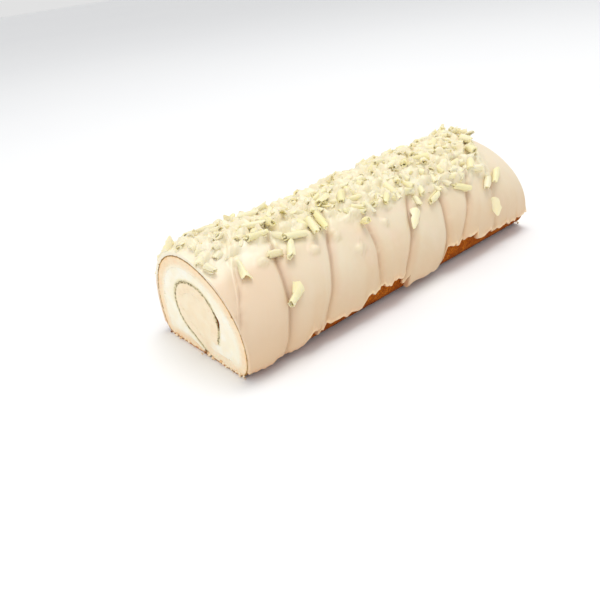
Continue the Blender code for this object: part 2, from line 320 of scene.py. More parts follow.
def spline(points, steps):
    """A smooth line through the points, the ends included, with that many steps between two of them."""
    points = np.asarray(points, float)
    held = np.vstack((2 * points[0] - points[1], points, 2 * points[-1] - points[-2]))
    share = (np.arange(steps) / steps)[:, None]
    line = [
        0.5
        * (
            2 * start
            + (end - before) * share
            + (2 * before - 5 * start + 4 * end - after) * share**2
            + (3 * start - before - 3 * end + after) * share**3
        )
        for before, start, end, after in zip(held, held[1:], held[2:], held[3:])
    ]
    return np.vstack((*line, points[-1:]))


def walked(line):
    """How far along the line each of its points is."""
    return np.concatenate(([0.0], np.cumsum(np.linalg.norm(np.diff(line, axis=0), axis=1))))


def evenly(line, count):
    """The same line as evenly spaced points."""
    along = walked(line)
    wanted = np.linspace(0, along[-1], count)
    return np.stack([np.interp(wanted, along, part) for part in line.T], axis=-1)


def moved_left(line, distances):
    """The line moved to its left, point by point."""
    number = np.arange(len(line))
    along = line[np.minimum(number + 2, len(line) - 1)] - line[np.maximum(number - 2, 0)]
    along /= np.linalg.norm(along, axis=1)[:, None]
    left = np.stack((-along[:, 1], along[:, 0]), axis=-1)
    return line + left * np.asarray(distances)[:, None]


def half_round(start, end):
    """The points of the half circle that closes the sheet's inner end, from start to end."""
    middle = (start + end) / 2
    turns = math.pi * np.arange(1, TIP_STEPS) / TIP_STEPS
    spoke = start - middle
    return np.stack(
        (
            middle[0] + spoke[0] * np.cos(turns) - spoke[1] * np.sin(turns),
            middle[1] + spoke[0] * np.sin(turns) + spoke[1] * np.cos(turns),
        ),
        axis=-1,
    )


outer_turn = np.stack(outline(np.linspace(TAIL_ANGLE, TUCK_ANGLE, OUTER_TURN_POINTS)), axis=-1)
inner_turn = spline([outer_turn[-1], *np.array(INNER_TURN_MM) * MM], INNER_TURN_STEPS)
whole_sheet = np.vstack((outer_turn, inner_turn[1:]))
sheet_length = walked(whole_sheet)[-1]
skin_line = evenly(whole_sheet, SHEET_POINTS)
skin_line[skin_line[:, 1] < PRESSED_FLAT, 1] = 0.0
grown = (np.linspace(0, sheet_length, SHEET_POINTS) / TAIL_TAPER).clip(0, 1)
sheet_thickness = TAIL_THICKNESS + (SHEET_THICKNESS - TAIL_THICKNESS) * grown
inner_start = round(walked(outer_turn)[-1] / sheet_length * (SHEET_POINTS - 1))
fine_skin_line = spline(skin_line, 4 * LOOP_STEPS)


def smooth_side(points):
    """One side of a section, with more points but still flat where it rests."""
    line = spline(points, LOOP_STEPS)
    line[:, 1] = line[:, 1].clip(0.0, None)
    return line


def cut_face(loop):
    """Small triangles that fill a closed (y, z) outline: their points, the outline's first, and their
    faces."""
    draw = np.random.default_rng(FACE_SEED)
    low, high = loop.min(0), loop.max(0)
    border = kdtree.KDTree(len(loop))
    for number, (y, z) in enumerate(loop):
        border.insert((y, z, 0), number)
    border.balance()
    spots = []
    rows = np.arange(low[1], high[1], CRUMB_SPACING * math.sqrt(0.75))
    for row, z in enumerate(rows):
        for y in np.arange(low[0] + row % 2 * CRUMB_SPACING / 2, high[0], CRUMB_SPACING):
            spot = np.array((y, z)) + draw.uniform(-CRUMB_STRAY, CRUMB_STRAY, 2) * CRUMB_SPACING
            if border.find((*spot, 0))[2] > CRUMB_CLEAR * CRUMB_SPACING:
                spots.append(spot)
    given = [Vector(point / MM) for point in [*loop, *spots]]
    rim = list(range(len(loop)))
    inside_only, too_near = 1, 1e-5
    points, _, faces, origins, _, _ = geometry.delaunay_2d_cdt(given, [], [rim], inside_only, too_near)
    place = {origin: number for number, those in enumerate(origins) for origin in those}
    used = sorted({number for face in faces for number in face} - {place[number] for number in rim})
    order = [place[number] for number in rim] + used
    renamed = {old: new for new, old in enumerate(order)}
    return (
        np.array([points[number] for number in order]) * MM,
        [[renamed[number] for number in face] for face in faces],
    )


def log_piece(name, loop, shown):
    """A closed piece that runs the log's whole length: a cut face at each end and walls between them. The
    walls have small faces only where they are shown."""
    face_points, face_faces = cut_face(loop)
    count = len(face_points)
    points = [(end, y, z) for end in (-HALF_LENGTH, HALF_LENGTH) for y, z in face_points]
    faces = face_faces + [[count + number for number in face] for face in face_faces]
    lines, steps = [], []
    for number, (y, z) in enumerate(loop):
        step = 1 if shown[number] else HIDDEN_STEP
        line = [number]
        for column in range(step, SKIN_STEPS, step):
            line.append(len(points))
            points.append((HALF_LENGTH * (2 * column / SKIN_STEPS - 1), y, z))
        lines.append([*line, count + number])
        steps.append(step)
    for number in range(len(loop)):
        after = (number + 1) % len(loop)
        both_fine = steps[number] == steps[after] == 1
        stride = 1 if both_fine else HIDDEN_STEP
        for start in range(0, SKIN_STEPS, stride):
            near, far = [
                lines[which][start // steps[which] : (start + stride) // steps[which] + 1]
                for which in (number, after)
            ]
            faces.append(near + far[::-1])
    finder = kdtree.KDTree(len(fine_skin_line))
    for number, (y, z) in enumerate(fine_skin_line):
        finder.insert((0, y, z), number)
    finder.balance()
    nearest = [finder.find((0, y, z)) for _, y, z in points]
    carried_there = {
        "to_skin": [distance for _, _, distance in nearest],
        "sheet_share": [number / len(fine_skin_line) for _, number, _ in nearest],
        "to_cut": [HALF_LENGTH - abs(x) for x, _, _ in points],
    }
    return new_piece(name, points, faces, carried_there)


def slanted_x(x, z):
    """Where a point of a log with two straight cuts comes to lie along X, as the cut at +X is aslant."""
    return x - SLANT * z * np.maximum(0.0, x - SLANT_START) / (HALF_LENGTH - SLANT_START)


def slant(piece):
    """Moves a piece's points to where the slanting cut has them."""
    for vertex in piece.data.vertices:
        vertex.co.x = slanted_x(vertex.co.x, vertex.co.z)


def crumb_tree(name, material):
    """Opens pores in the cut faces, and makes the walls between them a little uneven."""
    tree, given = start_tree(name, CRUMB_SIZES)
    place = add(tree, "GeometryNodeInputPosition")
    x, _, z = place.split()
    on_cut = abs(x).fade(HALF_LENGTH - 0.4 * MM, HALF_LENGTH - 0.1 * MM)
    pores = cells(place, given["Pore Size"], given["Seed"])
    lumps = noise(place, given["Lump Size"], given["Seed"], 3.0)
    relief = given["Lump Depth"] * (lumps - 0.5) - given["Pore Depth"] * on_cut * (1 - pores.fade(0.1, 0.5))
    offset = add(tree, "GeometryNodeInputNormal").scaled(relief * z.fade(0.1 * MM, 1.2 * MM))
    shaped = add(tree, "GeometryNodeSetPosition", {"Geometry": given["Geometry"], "Offset": offset})
    end_tree(tree, shaped, material)
    return tree


def sponge_material():
    """Pale peach crumb with small pores, which are painted darker as shade. Its skin is baked golden brown,
    painted darker towards the floor as shade, and shows as a thin olive line where the knife went through,
    which cream has greyed and broken up round the inner turn."""
    glow = (0.12, (1.0, 0.6, 0.35), 1.5 * MM)
    material, tree, shader, place = start_material("baked sponge", 0.9, 0.1, glow)
    patches = noise(place, 7 * MM, 1.0).fade(0.35, 0.65)
    grain = noise(place, 0.9 * MM, 2.0, 3.0)
    specks = noise(place, 1.3 * MM, 9.0, 2.0)
    pores = cells(place, 1.1 * MM, 3.0)
    inner = carried(tree, "sheet_share").fade(0.60, 0.64)
    outer_crumb = blend(patches, (251, 230, 198), (249, 222, 186))
    inner_crumb = blend(patches, (251, 234, 205), (249, 229, 197))
    crumb = blend(inner, outer_crumb, inner_crumb)
    # The pores are painted darker, as shade inside them.
    crumb = blend(pores.fade(0.05, 0.3), (242, 212, 168), crumb)
    to_skin = carried(tree, "to_skin") + (grain - 0.5) * 1.4 * MM
    soaked = to_skin.fade(SHEET_THICKNESS - 3.2 * MM, SHEET_THICKNESS - 0.2 * MM) * (1 - inner)
    crumb = blend(soaked * 0.8, crumb, (253, 243, 220))
    warmed = blend(patches, (250, 223, 184), (247, 206, 156))
    crumb = blend((to_skin + 2 * MM * inner).fade(0.4 * MM, 2.4 * MM), warmed, crumb)
    z = place.split()[2]
    on_cut = 1 - carried(tree, "to_cut").fade(0.1 * MM, 0.7 * MM)
    skin = blend(patches, (168, 84, 14), (198, 112, 26))
    skin = blend(grain.fade(0.3, 0.65), (122, 52, 8), skin)
    # The skin is painted darker towards the floor, as shade under the rounded foot of the log.
    skin = blend(z.fade(0.0, 8 * MM), (104, 40, 8), skin)
    outer_line = blend(specks.fade(0.42, 0.58), (134, 98, 46), (188, 146, 88))
    inner_line = blend(specks.fade(0.42, 0.56), (128, 112, 72), (222, 206, 164))
    line = blend(on_cut, skin, blend(inner, outer_line, inner_line))
    colour = blend((to_skin - 0.3 * MM * inner).fade(0.4 * MM, 1.0 * MM), line, crumb)
    dots = (1 - cells(place, 1.6 * MM, 18.0).fade(0.1, 0.3)) * (1 - to_skin.fade(0.6 * MM, 2.2 * MM))
    colour = blend(dots * inner * on_cut * 0.8, colour, (142, 128, 88))
    toasted = on_cut * (1 - z.fade(0.3 * MM, 1.8 * MM)) * specks.fade(0.44, 0.56)
    colour = blend(toasted, colour, (196, 118, 56))
    plug(colour, shader.inputs["Base Color"])
    roughen(shader, grain + pores * 0.6, 0.25 * MM)
    return material


sheet_outside = smooth_side(skin_line)
sheet_inside = smooth_side(moved_left(skin_line, sheet_thickness))
sheet_loop = np.vstack((sheet_outside, half_round(skin_line[-1], sheet_inside[-1]), sheet_inside[::-1]))
on_outside = np.arange(len(sheet_loop)) < inner_start * LOOP_STEPS
low_down = (sheet_loop[:, 1] > SHOWN_SKIN[0]) & (sheet_loop[:, 1] < SHOWN_SKIN[1])
sponge = log_piece("sponge_sheet", sheet_loop, on_outside & low_down)
crumb_sizes = (1.5 * MM, 0.55 * MM, 2.5 * MM, 0.6 * MM, 4)
run_tree(sponge, crumb_tree("sponge crumb", sponge_material()), dict(zip(CRUMB_SIZES, crumb_sizes)))
slant(sponge)
hand_over(sponge, "sponge")


# The cream filling
# White chocolate cream, spread over the whole sheet before it was rolled: it fills the band between the two
# turns and the core. The knife dragged it smooth, and it has sunk a little from the skin of the inner turn.
# The cream is this far from the crumb, and starts so many of the sheet's points in from its tail
CREAM_TOUCH = 0.00002
CREAM_START = 1
# Where the cream has come off the skin of the inner turn: the share of the sheet's length, the reach on
# both sides as such a share, and the width in millimetres
CRACKS = (
    (0.957, 0.013, 2.2),
    (0.985, 0.022, 0.35),
    (0.915, 0.006, 0.45),
    (0.872, 0.005, 0.4),
    (0.792, 0.010, 0.4),
    (0.745, 0.006, 0.35),
)
# The cream of the core turns into that of the band over this distance, looked at in so many directions
CORE_BLUR = 0.0025
CORE_SAMPLES = 8


def crack_width(share):
    """How far the cream has come off the sheet's skin, at a share of the sheet's length."""
    width = np.full(len(share), CREAM_TOUCH)
    for centre, reach, widest in CRACKS:
        width += widest * MM * np.exp(-(((share - centre) / reach) ** 2))
    return width


def core_share(mesh):
    """1 for the points inside the sheet's inner turn and 0 for those between its turns, with a soft change
    at its open end."""
    core = moved_left(skin_line, sheet_thickness / 2)[inner_start:]
    spots = np.array([point.co.yz for point in mesh.vertices])
    share = np.zeros(len(spots))
    for turn in np.arange(CORE_SAMPLES) * 2 * math.pi / CORE_SAMPLES:
        y, z = (spots + CORE_BLUR * np.array((math.cos(turn), math.sin(turn)))).T
        inside = np.zeros(len(spots), bool)
        for (y1, z1), (y2, z2) in zip(core, np.roll(core, -1, axis=0)):
            if z1 != z2:
                inside ^= ((z1 > z) != (z2 > z)) & (y < y1 + (y2 - y1) * (z - z1) / (z2 - z1))
        share += inside / CORE_SAMPLES
    return share


def cream_material():
    """Ivory cream, whiter between the turns than in the core, with the crumbs that the knife dragged into
    it."""
    glow = (0.25, (1.0, 0.8, 0.55), 2 * MM)
    material, tree, shader, place = start_material("white chocolate cream", 0.5, 0.4, glow)
    patches = noise(place, 7 * MM, 5.0).fade(0.35, 0.65)
    grain = noise(place, 0.8 * MM, 6.0, 3.0)
    band = blend(patches, (254, 248, 230), (253, 242, 216))
    core = blend(patches, (250, 233, 202), (248, 228, 194))
    cream = blend(carried(tree, "in_core"), band, core)
    specks = cells(place, 2.4 * MM, 7.0)
    cream = blend(specks.fade(0.06, 0.13), (240, 212, 168), cream)
    to_skin = carried(tree, "to_skin") + (grain - 0.5) * 3.0 * MM
    crumbs = noise(place, 1.2 * MM, 10.0, 2.0)
    cream = blend(to_skin.fade(0.6 * MM, 2.6 * MM), (240, 228, 188), cream)
    dots = (1 - cells(place, 1.6 * MM, 19.0).fade(0.1, 0.3)) * (1 - to_skin.fade(0.6 * MM, 2.4 * MM))
    cream = blend(dots * 0.8, cream, (142, 128, 88))
    stained = blend(crumbs.fade(0.42, 0.56), (140, 124, 84), (226, 212, 172))
    colour = blend(to_skin.fade(0.2 * MM, 1.0 * MM), stained, cream)
    plug(colour, shader.inputs["Base Color"])
    roughen(shader, grain, 0.12 * MM)
    return material


cream_on_crumb = smooth_side(moved_left(skin_line, sheet_thickness + CREAM_TOUCH)[CREAM_START:])
off_the_skin = moved_left(skin_line, -crack_width(np.linspace(0, 1, SHEET_POINTS)))
cream_on_skin = smooth_side(off_the_skin[inner_start + CREAM_START + 1 :])
round_the_tip = half_round(cream_on_skin[-1], cream_on_crumb[-1])[::-1]
cream_loop = np.vstack((cream_on_crumb, round_the_tip, cream_on_skin[::-1]))
cream = log_piece("cream_spiral", cream_loop, np.zeros(len(cream_loop), bool))
carry(cream.data, "in_core", core_share(cream.data))
cream_sizes = (3.2 * MM, 0.22 * MM, 5 * MM, 0.4 * MM, 8)
run_tree(cream, crumb_tree("dragged cream", cream_material()), dict(zip(CRUMB_SIZES, cream_sizes)))
slant(cream)
hand_over(cream, "cream_filling")


# The icing
# Melted white chocolate icing, poured over the log in slanting bands that set one against the next. It has
# a rounded lower edge that has come off the sponge in places, and the knife cut it flush at both ends.
ICING_SIZES = {
    "Thickness": 1.8 * MM,
    "Swell": 1.1 * MM,
    "Lap": 0.5 * MM,
    "Seam Depth": 1.0 * MM,
    "Seam Half Width": 1.9 * MM,
    "Lip": 1.1 * MM,
    "Bead": 0.3 * MM,
    "Rim Lumps": 1.6 * MM,
    "Lift": 0.9 * MM,
    "Lumps": 0.3 * MM,
    "Crown Depth": 1.1 * MM,
    "Crown Lumps": 2.6 * MM,
    "Seed": 15,
}
# Where each seam crosses the crown, in millimetres, how far its front and its back foot lean towards -X,
# how late the front one bends (1 is straight), and how marked it is. The first and the last only border the
# end bands. The feet are at this angle round the log
FOOT_ANGLE = 1.9
SEAMS_MM = (
    (-150, 41, 20, 1, 0),
    (-96.7, 41, 20, 1, 0.4),
    (-94.2, 41, 20, 1, 0.55),
    (-73.5, 25.5, 32, 1, 1),
    (-30, 45.5, 30, 1, 0.9),
    (-10, 20.5, 30, 1, 0.8),
    (36, 49, 25, 1, 1),
    (53.5, 25.5, 35, 1, 0.9),
    (80, 46.5, 20, 1.7, 0.8),
    (97, 17, 25, 1, 0.6),
    (165, 17, 25, 1, 0),
)
# Each seam wobbles in three waves: how fast each one turns with the angle round the log, and its share
SEAM_WOBBLE = 0.0003
SEAM_WAVES = ((3.7, 1), (9.1, 1), (17, 0.6))
# Over the crown the seams are this much shallower, out to about this angle
CREST_SHARE = 0.5
CREST_ANGLE = 0.5
# How high the lower edge is, how far it rises and falls in long waves, how many of those a metre has, and
# how far it does so in short ones
EDGE_HEIGHT = 0.0055
EDGE_WAVE = 0.0006
EDGE_WAVES_PER_METRE = (65, 27)
EDGE_RAGGED = 0.0005
# Where it has lifted off, the edge is torn this much more. The short waves are so many per metre, with the
# angle that each starts at, and they drift by this much, once in so many of them
TORN_RAGGED = 1.3
RAGGED_WAVES = ((97, 0.3), (171, 1.1), (255, 2.9))
RAGGED_DRIFT = 2.5
WAVES_A_DRIFT = 6.3
# Over how much of the log's length the edge comes off the sponge
EDGE_BLEND = 0.005
# The angles round the log between which the lower edge is looked for, and how finely
EDGE_ANGLES = (1.2, 2.4)
EDGE_STEPS = 400
# The longest half of the sheet reaches this angle, and its lower edge settles in so many rounds
SHEET_ANGLE = 1.7
EDGE_ROUNDS = 4
# Where the lower edge has come off the sponge: from one x to the other, and how high it is there
FRONT_LIFTS_MM = (
    (-84, -77, 12.5),
    (-76, -43, 11),
    (-43, -5, 15),
    (31, 66, 17),
    (64, 80, 13.5),
    (78, 123, 11.5),
)
BACK_LIFTS_MM = (
    (-96, -70, 10),
    (-22, 14, 14),
    (48, 60, 9),
    (84, 104, 13),
)
# How far the sheet's columns stand from a seam and its rows from the lower edge, in millimetres, where they
# are closer together than elsewhere, and how much of a narrow band those columns may take on each side
NEAR_SEAM_MM = (0, 0.22, 0.45, 0.75, 1.2, 1.9, 2.8)
NEAR_EDGE_MM = (0, 0.12, 0.35, 0.7, 1.1, 1.6, 2.3, 3.1)
NARROW_SHARE = 0.45
# How far apart its other columns are, how many rows it would have without those near its edge, and the
# least width of a band that a share is worked out with
COLUMN_SPACING = 0.0012
ROWS_BETWEEN = 92
LEAST_WIDTH = 1e-6
# Lumps where the icing has run over a curl: x, distance from the crown along the skin, half length along X,
# half width, and height. The value after them is how steep the sides of all lumps are
COATED_CURLS_MM = (
    (-103, 18, 4.6, 3.2, 1.8),
    (-97, 9, 3.4, 4.2, 1.9),
    (-91, 26, 4.8, 2.9, 2.3),
    (-78, 19, 3.2, 3.8, 1.9),
    (-60, 32, 4.2, 3.4, 2.5),
    (-56, 23, 3.2, 4.2, 1.9),
    (-42, 30, 3.4, 3.4, 2.4),
    (-33, 42, 5.2, 3.2, 1.9),
    (-27, 24, 4.4, 3.0, 1.9),
    (-7, 35, 3.2, 3.0, 2.0),
    (2, 27, 4.0, 3.2, 1.8),
    (23, 32, 3.2, 3.6, 2.2),
    (30, 29, 4.4, 3.0, 1.7),
    (48, 33, 3.4, 3.6, 1.8),
    (70, 35, 4.2, 3.2, 1.8),
    (91, 37, 3.2, 3.2, 1.6),
    (48, -56, 3.6, 3.0, 2.0),
    (-40, -60, 3.2, 3.6, 2.0),
)
LUMP_STEEPNESS = 1.3
# Where the curls were strewn: from one x to the other, and between these distances from the crown along the
# skin, of which the front one grows along the log
STREWN_X = (-0.1175, 0.1075)
STREWN_BACK = -0.048
STREWN_FRONT = 0.025
STREWN_FRONT_SLOPE = 0.11
# In front of this distance from the crown, the strewn curls end nearer and nearer to -X
STREWN_END_BEND = 0.003
STREWN_END_SLOPE = 0.6
# How much farther than the strewn curls the icing's thick, pale crown reaches
CROWN_PAST_CURLS = 0.006
CROWN_BLEND = 0.009
# The strewn curls: their number, how far apart they are, their lengths and radii, and how they tilt
CURL_SEED = 17
CURL_COUNT = 205
CURL_SPACING = 0.0066
CURL_TRIES = 20000
CURL_LENGTHS = (0.0070, 0.0125)
CURL_RADII = (0.0018, 0.0024)
CURL_TILTS = (0, 3, 6, 10, 15, 22)
# The curls heaped at the far end of the crown: x, distance from the crown along the skin, turn, tilt,
# length
HEAPED_CURLS_MM = (
    (106.5, 9.5, 130, 14, 9),
    (112, 4, 35, 26, 11),
    (117, -1.5, 70, 16, 8.5),
    (111, -4, 100, 36, 10),
    (116.5, -9, 125, 28, 9.5),
    (110.5, -12, 150, 32, 11),
    (115, -17, 20, 34, 10),
    (110.5, -22, 60, 22, 10),
    (116.5, -25, 100, 20, 9),
    (112, -31, 135, 20, 9),
    (115, -39, 40, 12, 9),
)
# How much higher or lower than its bed the heap of curls is, in millimetres, at places along the log
HEAP_MM = (
    (-112, -0.2), (-80, -0.6), (-66, -1.3), (-46, -2.1), (-25, -1.6), (0, -0.3),
    (18, -1.0), (34, 0.5), (60, 0.9), (88, -0.4), (104, 0.9),
)
# How far the icing clings round a strewn curl, and how high it climbs it, as a share of the curl's radius
CLINGS = 0.0014
CLIMBS = 1.25
# Towards the near end the icing is as pale as on the crown down to this distance from it
PALE_FRONT = 0.024
# Shade is painted into the icing for this far below a lump
LUMP_SHADE = 0.0012
# Distances along the skin are measured out to this angle round the log, at so many places
SKIN_ANGLE = 2.4
SKIN_ANGLES = 2401

skin_angles = np.linspace(-SKIN_ANGLE, SKIN_ANGLE, SKIN_ANGLES)
skin_walk = walked(np.stack(outline(skin_angles), axis=-1))
skin_walk -= np.interp(0.0, skin_angles, skin_walk)


def heap(x):
    """How much higher than its bed the heap of curls is at x."""
    places, heights = np.array(HEAP_MM).T * MM
    return np.interp(x, places, heights)


def strewn_end(across):
    """How far along the log the strewn curls reach, at a distance from the crown along the skin."""
    return STREWN_X[1] - STREWN_END_SLOPE * np.maximum(0.0, across - STREWN_END_BEND)


def strewn_front(x):
    """How far down the front the strewn curls reach at x, as a distance from the crown along the skin."""
    return STREWN_FRONT + STREWN_FRONT_SLOPE * x


def free_spots(draw, start_x, spacing, taken):
    """Random places over the crown, none nearer than the spacing to those that are taken by then."""
    for _ in range(CURL_TRIES):
        x = draw.uniform(start_x, STREWN_X[1])
        across = draw.uniform(STREWN_BACK, strewn_front(x))
        if all(math.hypot(x - other[0], across - other[1]) >= spacing for other in taken):
            yield x, across


def strewn_curls():
    """The curls over the crown, none nearer to another than the spacing: x, distance from the crown along
    the skin, turn, tilt, length and radius."""
    draw = random.Random(CURL_SEED)
    curls = []
    for x, across in free_spots(draw, STREWN_X[0], CURL_SPACING, curls):
        turn = draw.uniform(0, 180)
        tilt = draw.choice(CURL_TILTS)
        length = draw.uniform(*CURL_LENGTHS)
        curls.append((x, across, turn, tilt, length, draw.uniform(*CURL_RADII)))
        if len(curls) == CURL_COUNT:
            break
    return [curl for curl in curls if curl[0] < strewn_end(curl[1])]


def heaped_curls():
    """The curls of the far heap, with what the strewn ones have."""
    radius = sum(CURL_RADII) / 2
    return [
        (x * MM, across * MM, turn, tilt, length * MM, radius)
        for x, across, turn, tilt, length in HEAPED_CURLS_MM
    ]


def coated_lumps():
    """Every lump in the icing, one in each row: x, distance from the crown, turn, half length, half width
    and height."""
    lumps = []
    for x, across, half_long, half_wide, rise in COATED_CURLS_MM:
        lumps.append((x * MM, across * MM, 0.0, half_long * MM, half_wide * MM, rise * MM))
    for x, across, turn, tilt, length, radius in strewn_curls() + heaped_curls():
        half_long = length / 2 * math.cos(math.radians(tilt)) + CLINGS
        lumps.append((x, across, math.radians(turn), half_long, radius + CLINGS, CLIMBS * radius))
    return np.array(lumps).T[:, :, None]


all_lumps = coated_lumps()


def seam_x(seam, angle):
    """Where a seam lies along the log, at angles round it."""
    crest, front_lean, back_lean, bend, _ = seam
    share = np.abs(angle) / FOOT_ANGLE
    lean = np.where(angle > 0, front_lean * share**bend, back_lean * share)
    wobble = 0.0
    for number, (turns, part) in enumerate(SEAM_WAVES, 1):
        wobble = wobble + part * np.sin(turns * angle + number * crest)
    return (crest - lean) * MM + SEAM_WOBBLE * wobble


def lift_share(x, lift):
    """How far one lift of the lower edge has come off the sponge at x, from 0 to 1."""
    start, end, _ = lift
    return (0.5 + np.minimum(x - start * MM, end * MM - x) / EDGE_BLEND).clip(0, 1)


def lifted_share(x, lifts):
    """How far the lower edge has come off the sponge at x, from 0 to 1."""
    return np.max([lift_share(x, lift) for lift in lifts], axis=0)


def edge_height(x, lifts):
    """How high the icing's lower edge is at x."""
    height = np.full(len(x), EDGE_HEIGHT)
    for waves in EDGE_WAVES_PER_METRE:
        height += EDGE_WAVE * np.sin(2 * math.pi * waves * x)
    for lift in lifts:
        height = np.maximum(height, EDGE_HEIGHT + (lift[2] * MM - EDGE_HEIGHT) * lift_share(x, lift))
    ragged = EDGE_RAGGED * (1 + TORN_RAGGED * lifted_share(x, lifts))
    for waves, turn in RAGGED_WAVES:
        drift = RAGGED_DRIFT * np.sin(2 * math.pi * waves / WAVES_A_DRIFT * x)
        height += ragged * np.sin(2 * math.pi * waves * x + turn + drift) / 2
    return height


def edge_angles(x, side):
    """The angles at which the icing ends, on the front (side 1) or on the back (side -1)."""
    heights = edge_height(x, FRONT_LIFTS_MM if side > 0 else BACK_LIFTS_MM)
    tried = np.linspace(*EDGE_ANGLES, EDGE_STEPS)
    reached = outline(side * tried)[1]
    return side * np.interp(-heights, -reached, tried)


def band_columns():
    """The sheet's columns: the two seams they lie between, a distance from the nearer one, and how far
    through the rest of the band they are, from 0 to 1."""
    columns = []
    keep = NEAR_SEAM_MM[-1] * MM
    for number, (start, end) in enumerate(zip(SEAMS_MM, SEAMS_MM[1:])):
        for near in NEAR_SEAM_MM[1:] if number else NEAR_SEAM_MM:
            columns.append((start, end, near * MM, 0.0))
        width = (end[0] - start[0]) * MM - 2 * keep
        steps = max(2, round(width / COLUMN_SPACING))
        for step in range(1, steps):
            columns.append((start, end, keep, step / steps))
        for near in NEAR_SEAM_MM[::-1]:
            columns.append((start, end, near * MM, 1.0))
    return columns


def column_x(column, angle):
    """Where a column lies along the log, its distance from the nearest seam, its share of the band, and the
    band's width."""
    start, end, near, share = column
    low, high = seam_x(start, angle), seam_x(end, angle)
    width = high - low
    gap = np.minimum(near, width * NARROW_SHARE)
    x = high - gap if share == 1 else low + gap + (width - 2 * gap) * share
    return x, np.minimum(x - low, high - x), (x - low) / np.maximum(width, LEAST_WIDTH), width


def lump_height(x, walk):
    """How much higher the icing is, where it runs over a curl."""
    lump_x, across, turn, half_long, half_wide, rise = all_lumps
    along = (x - lump_x) * np.cos(turn) + (walk - across) * np.sin(turn)
    beside = (walk - across) * np.cos(turn) - (x - lump_x) * np.sin(turn)
    apart = (along / half_long) ** 2 + (beside / half_wide) ** 2
    return (rise * (1 - apart).clip(0, 1) ** LUMP_STEEPNESS).max(axis=0)


def crown_share(x, walk, front, *limits):
    """How far inside the icing's thick crown a point is, from 0 to 1. The crown ends at this distance down
    the front, and further limits can be given as distances inside them."""
    to_end = strewn_end(walk) + CROWN_PAST_CURLS - x
    inwards = np.min((walk - STREWN_BACK, front - walk, to_end, *limits), axis=0)
    return (0.5 + inwards / CROWN_BLEND).clip(0, 1)


def column_points(column, rows):
    """Where a column's points lie on the flat sheet, and what they carry. Rows run from -1 at the back's
    lower edge to 1 at the front's."""
    feet = {}
    for side in (1, -1):
        foot = np.array([side * SHEET_ANGLE])
        for _ in range(EDGE_ROUNDS):
            foot = edge_angles(column_x(column, foot)[0], side)
        feet[side] = foot[0]
    angle = np.where(rows > 0, rows * feet[1], -rows * feet[-1])
    x, to_seam, in_band, band_width = column_x(column, angle)
    walk = np.interp(angle, skin_angles, skin_walk)
    ends = [np.interp(feet[side], skin_angles, skin_walk) for side in (-1, 1)]
    flattened = 1 - CREST_SHARE * np.exp(-((angle / CREST_ANGLE) ** 2))
    front = strewn_front(x)
    lump = lump_height(x, walk)
    higher_up = lump_height(x, walk - np.sign(walk) * LUMP_SHADE)
    return x, walk, {
        "angle": angle,
        "to_seam": to_seam,
        "marked": np.where(in_band < 0.5, column[0][-1], column[1][-1]) * flattened,
        "in_band": in_band,
        "band_width": band_width,
        "to_edge": np.minimum(walk - ends[0], ends[1] - walk).clip(0, None),
        "lifted": np.where(angle > 0, lifted_share(x, FRONT_LIFTS_MM), lifted_share(x, BACK_LIFTS_MM)),
        "crown": crown_share(x, walk, front, x - STREWN_X[0]),
        "heap": heap(x),
        "pale": crown_share(x, walk, np.maximum(front, PALE_FRONT)),
        "lump": lump,
        "below_lump": (higher_up - lump).clip(0, None),
    }


def poured_sheet():
    """The icing before it is bent round the log: a flat sheet with a top and an underside that share their
    rim. Its points carry where they go."""
    half_walk = float(np.interp(SHEET_ANGLE, skin_angles, skin_walk))
    near_edge = np.array(NEAR_EDGE_MM) * MM / half_walk
    shares = np.linspace(-1, 1, ROWS_BETWEEN)
    inner_shares = shares[np.abs(shares) < 1 - near_edge[-1]]
    rows = np.concatenate((near_edge - 1, inner_shares, (1 - near_edge)[::-1]))
    carried_there = {}
    points, layers = [], ([], [])
    for column in band_columns():
        x, walk, column_says = column_points(column, rows)
        for top in (1, 0):
            column_says["top"] = np.full(len(rows), top)
            line = []
            for row in range(len(rows)):
                if not top and row in (0, len(rows) - 1):
                    line.append(layers[1][-1][row])
                    continue
                line.append(len(points))
                points.append((x[row], walk[row], 0))
                for name, numbers in column_says.items():
                    carried_there.setdefault(name, []).append(numbers[row])
            layers[top].append(line)
    faces = []
    for top, lines in enumerate(layers):
        for left, right in zip(lines, lines[1:]):
            for row in range(len(rows) - 1):
                face = (left[row], left[row + 1], right[row + 1], right[row])
                faces.append(face[::-1] if top else face)
    for place in (0, -1):
        rim = layers[1][place] + layers[0][place][-2:0:-1]
        faces.append(rim if place else rim[::-1])
    return new_piece("icing_coat", points, faces, carried_there)


def vector(tree, x, y, z):
    return add(tree, "ShaderNodeCombineXYZ", {0: x, 1: y, 2: z})


def named(tree, attribute, data_type="FLOAT"):
    """What a piece's points carry under this name."""
    return add(tree, "GeometryNodeInputNamedAttribute", {"Name": attribute}, data_type=data_type)


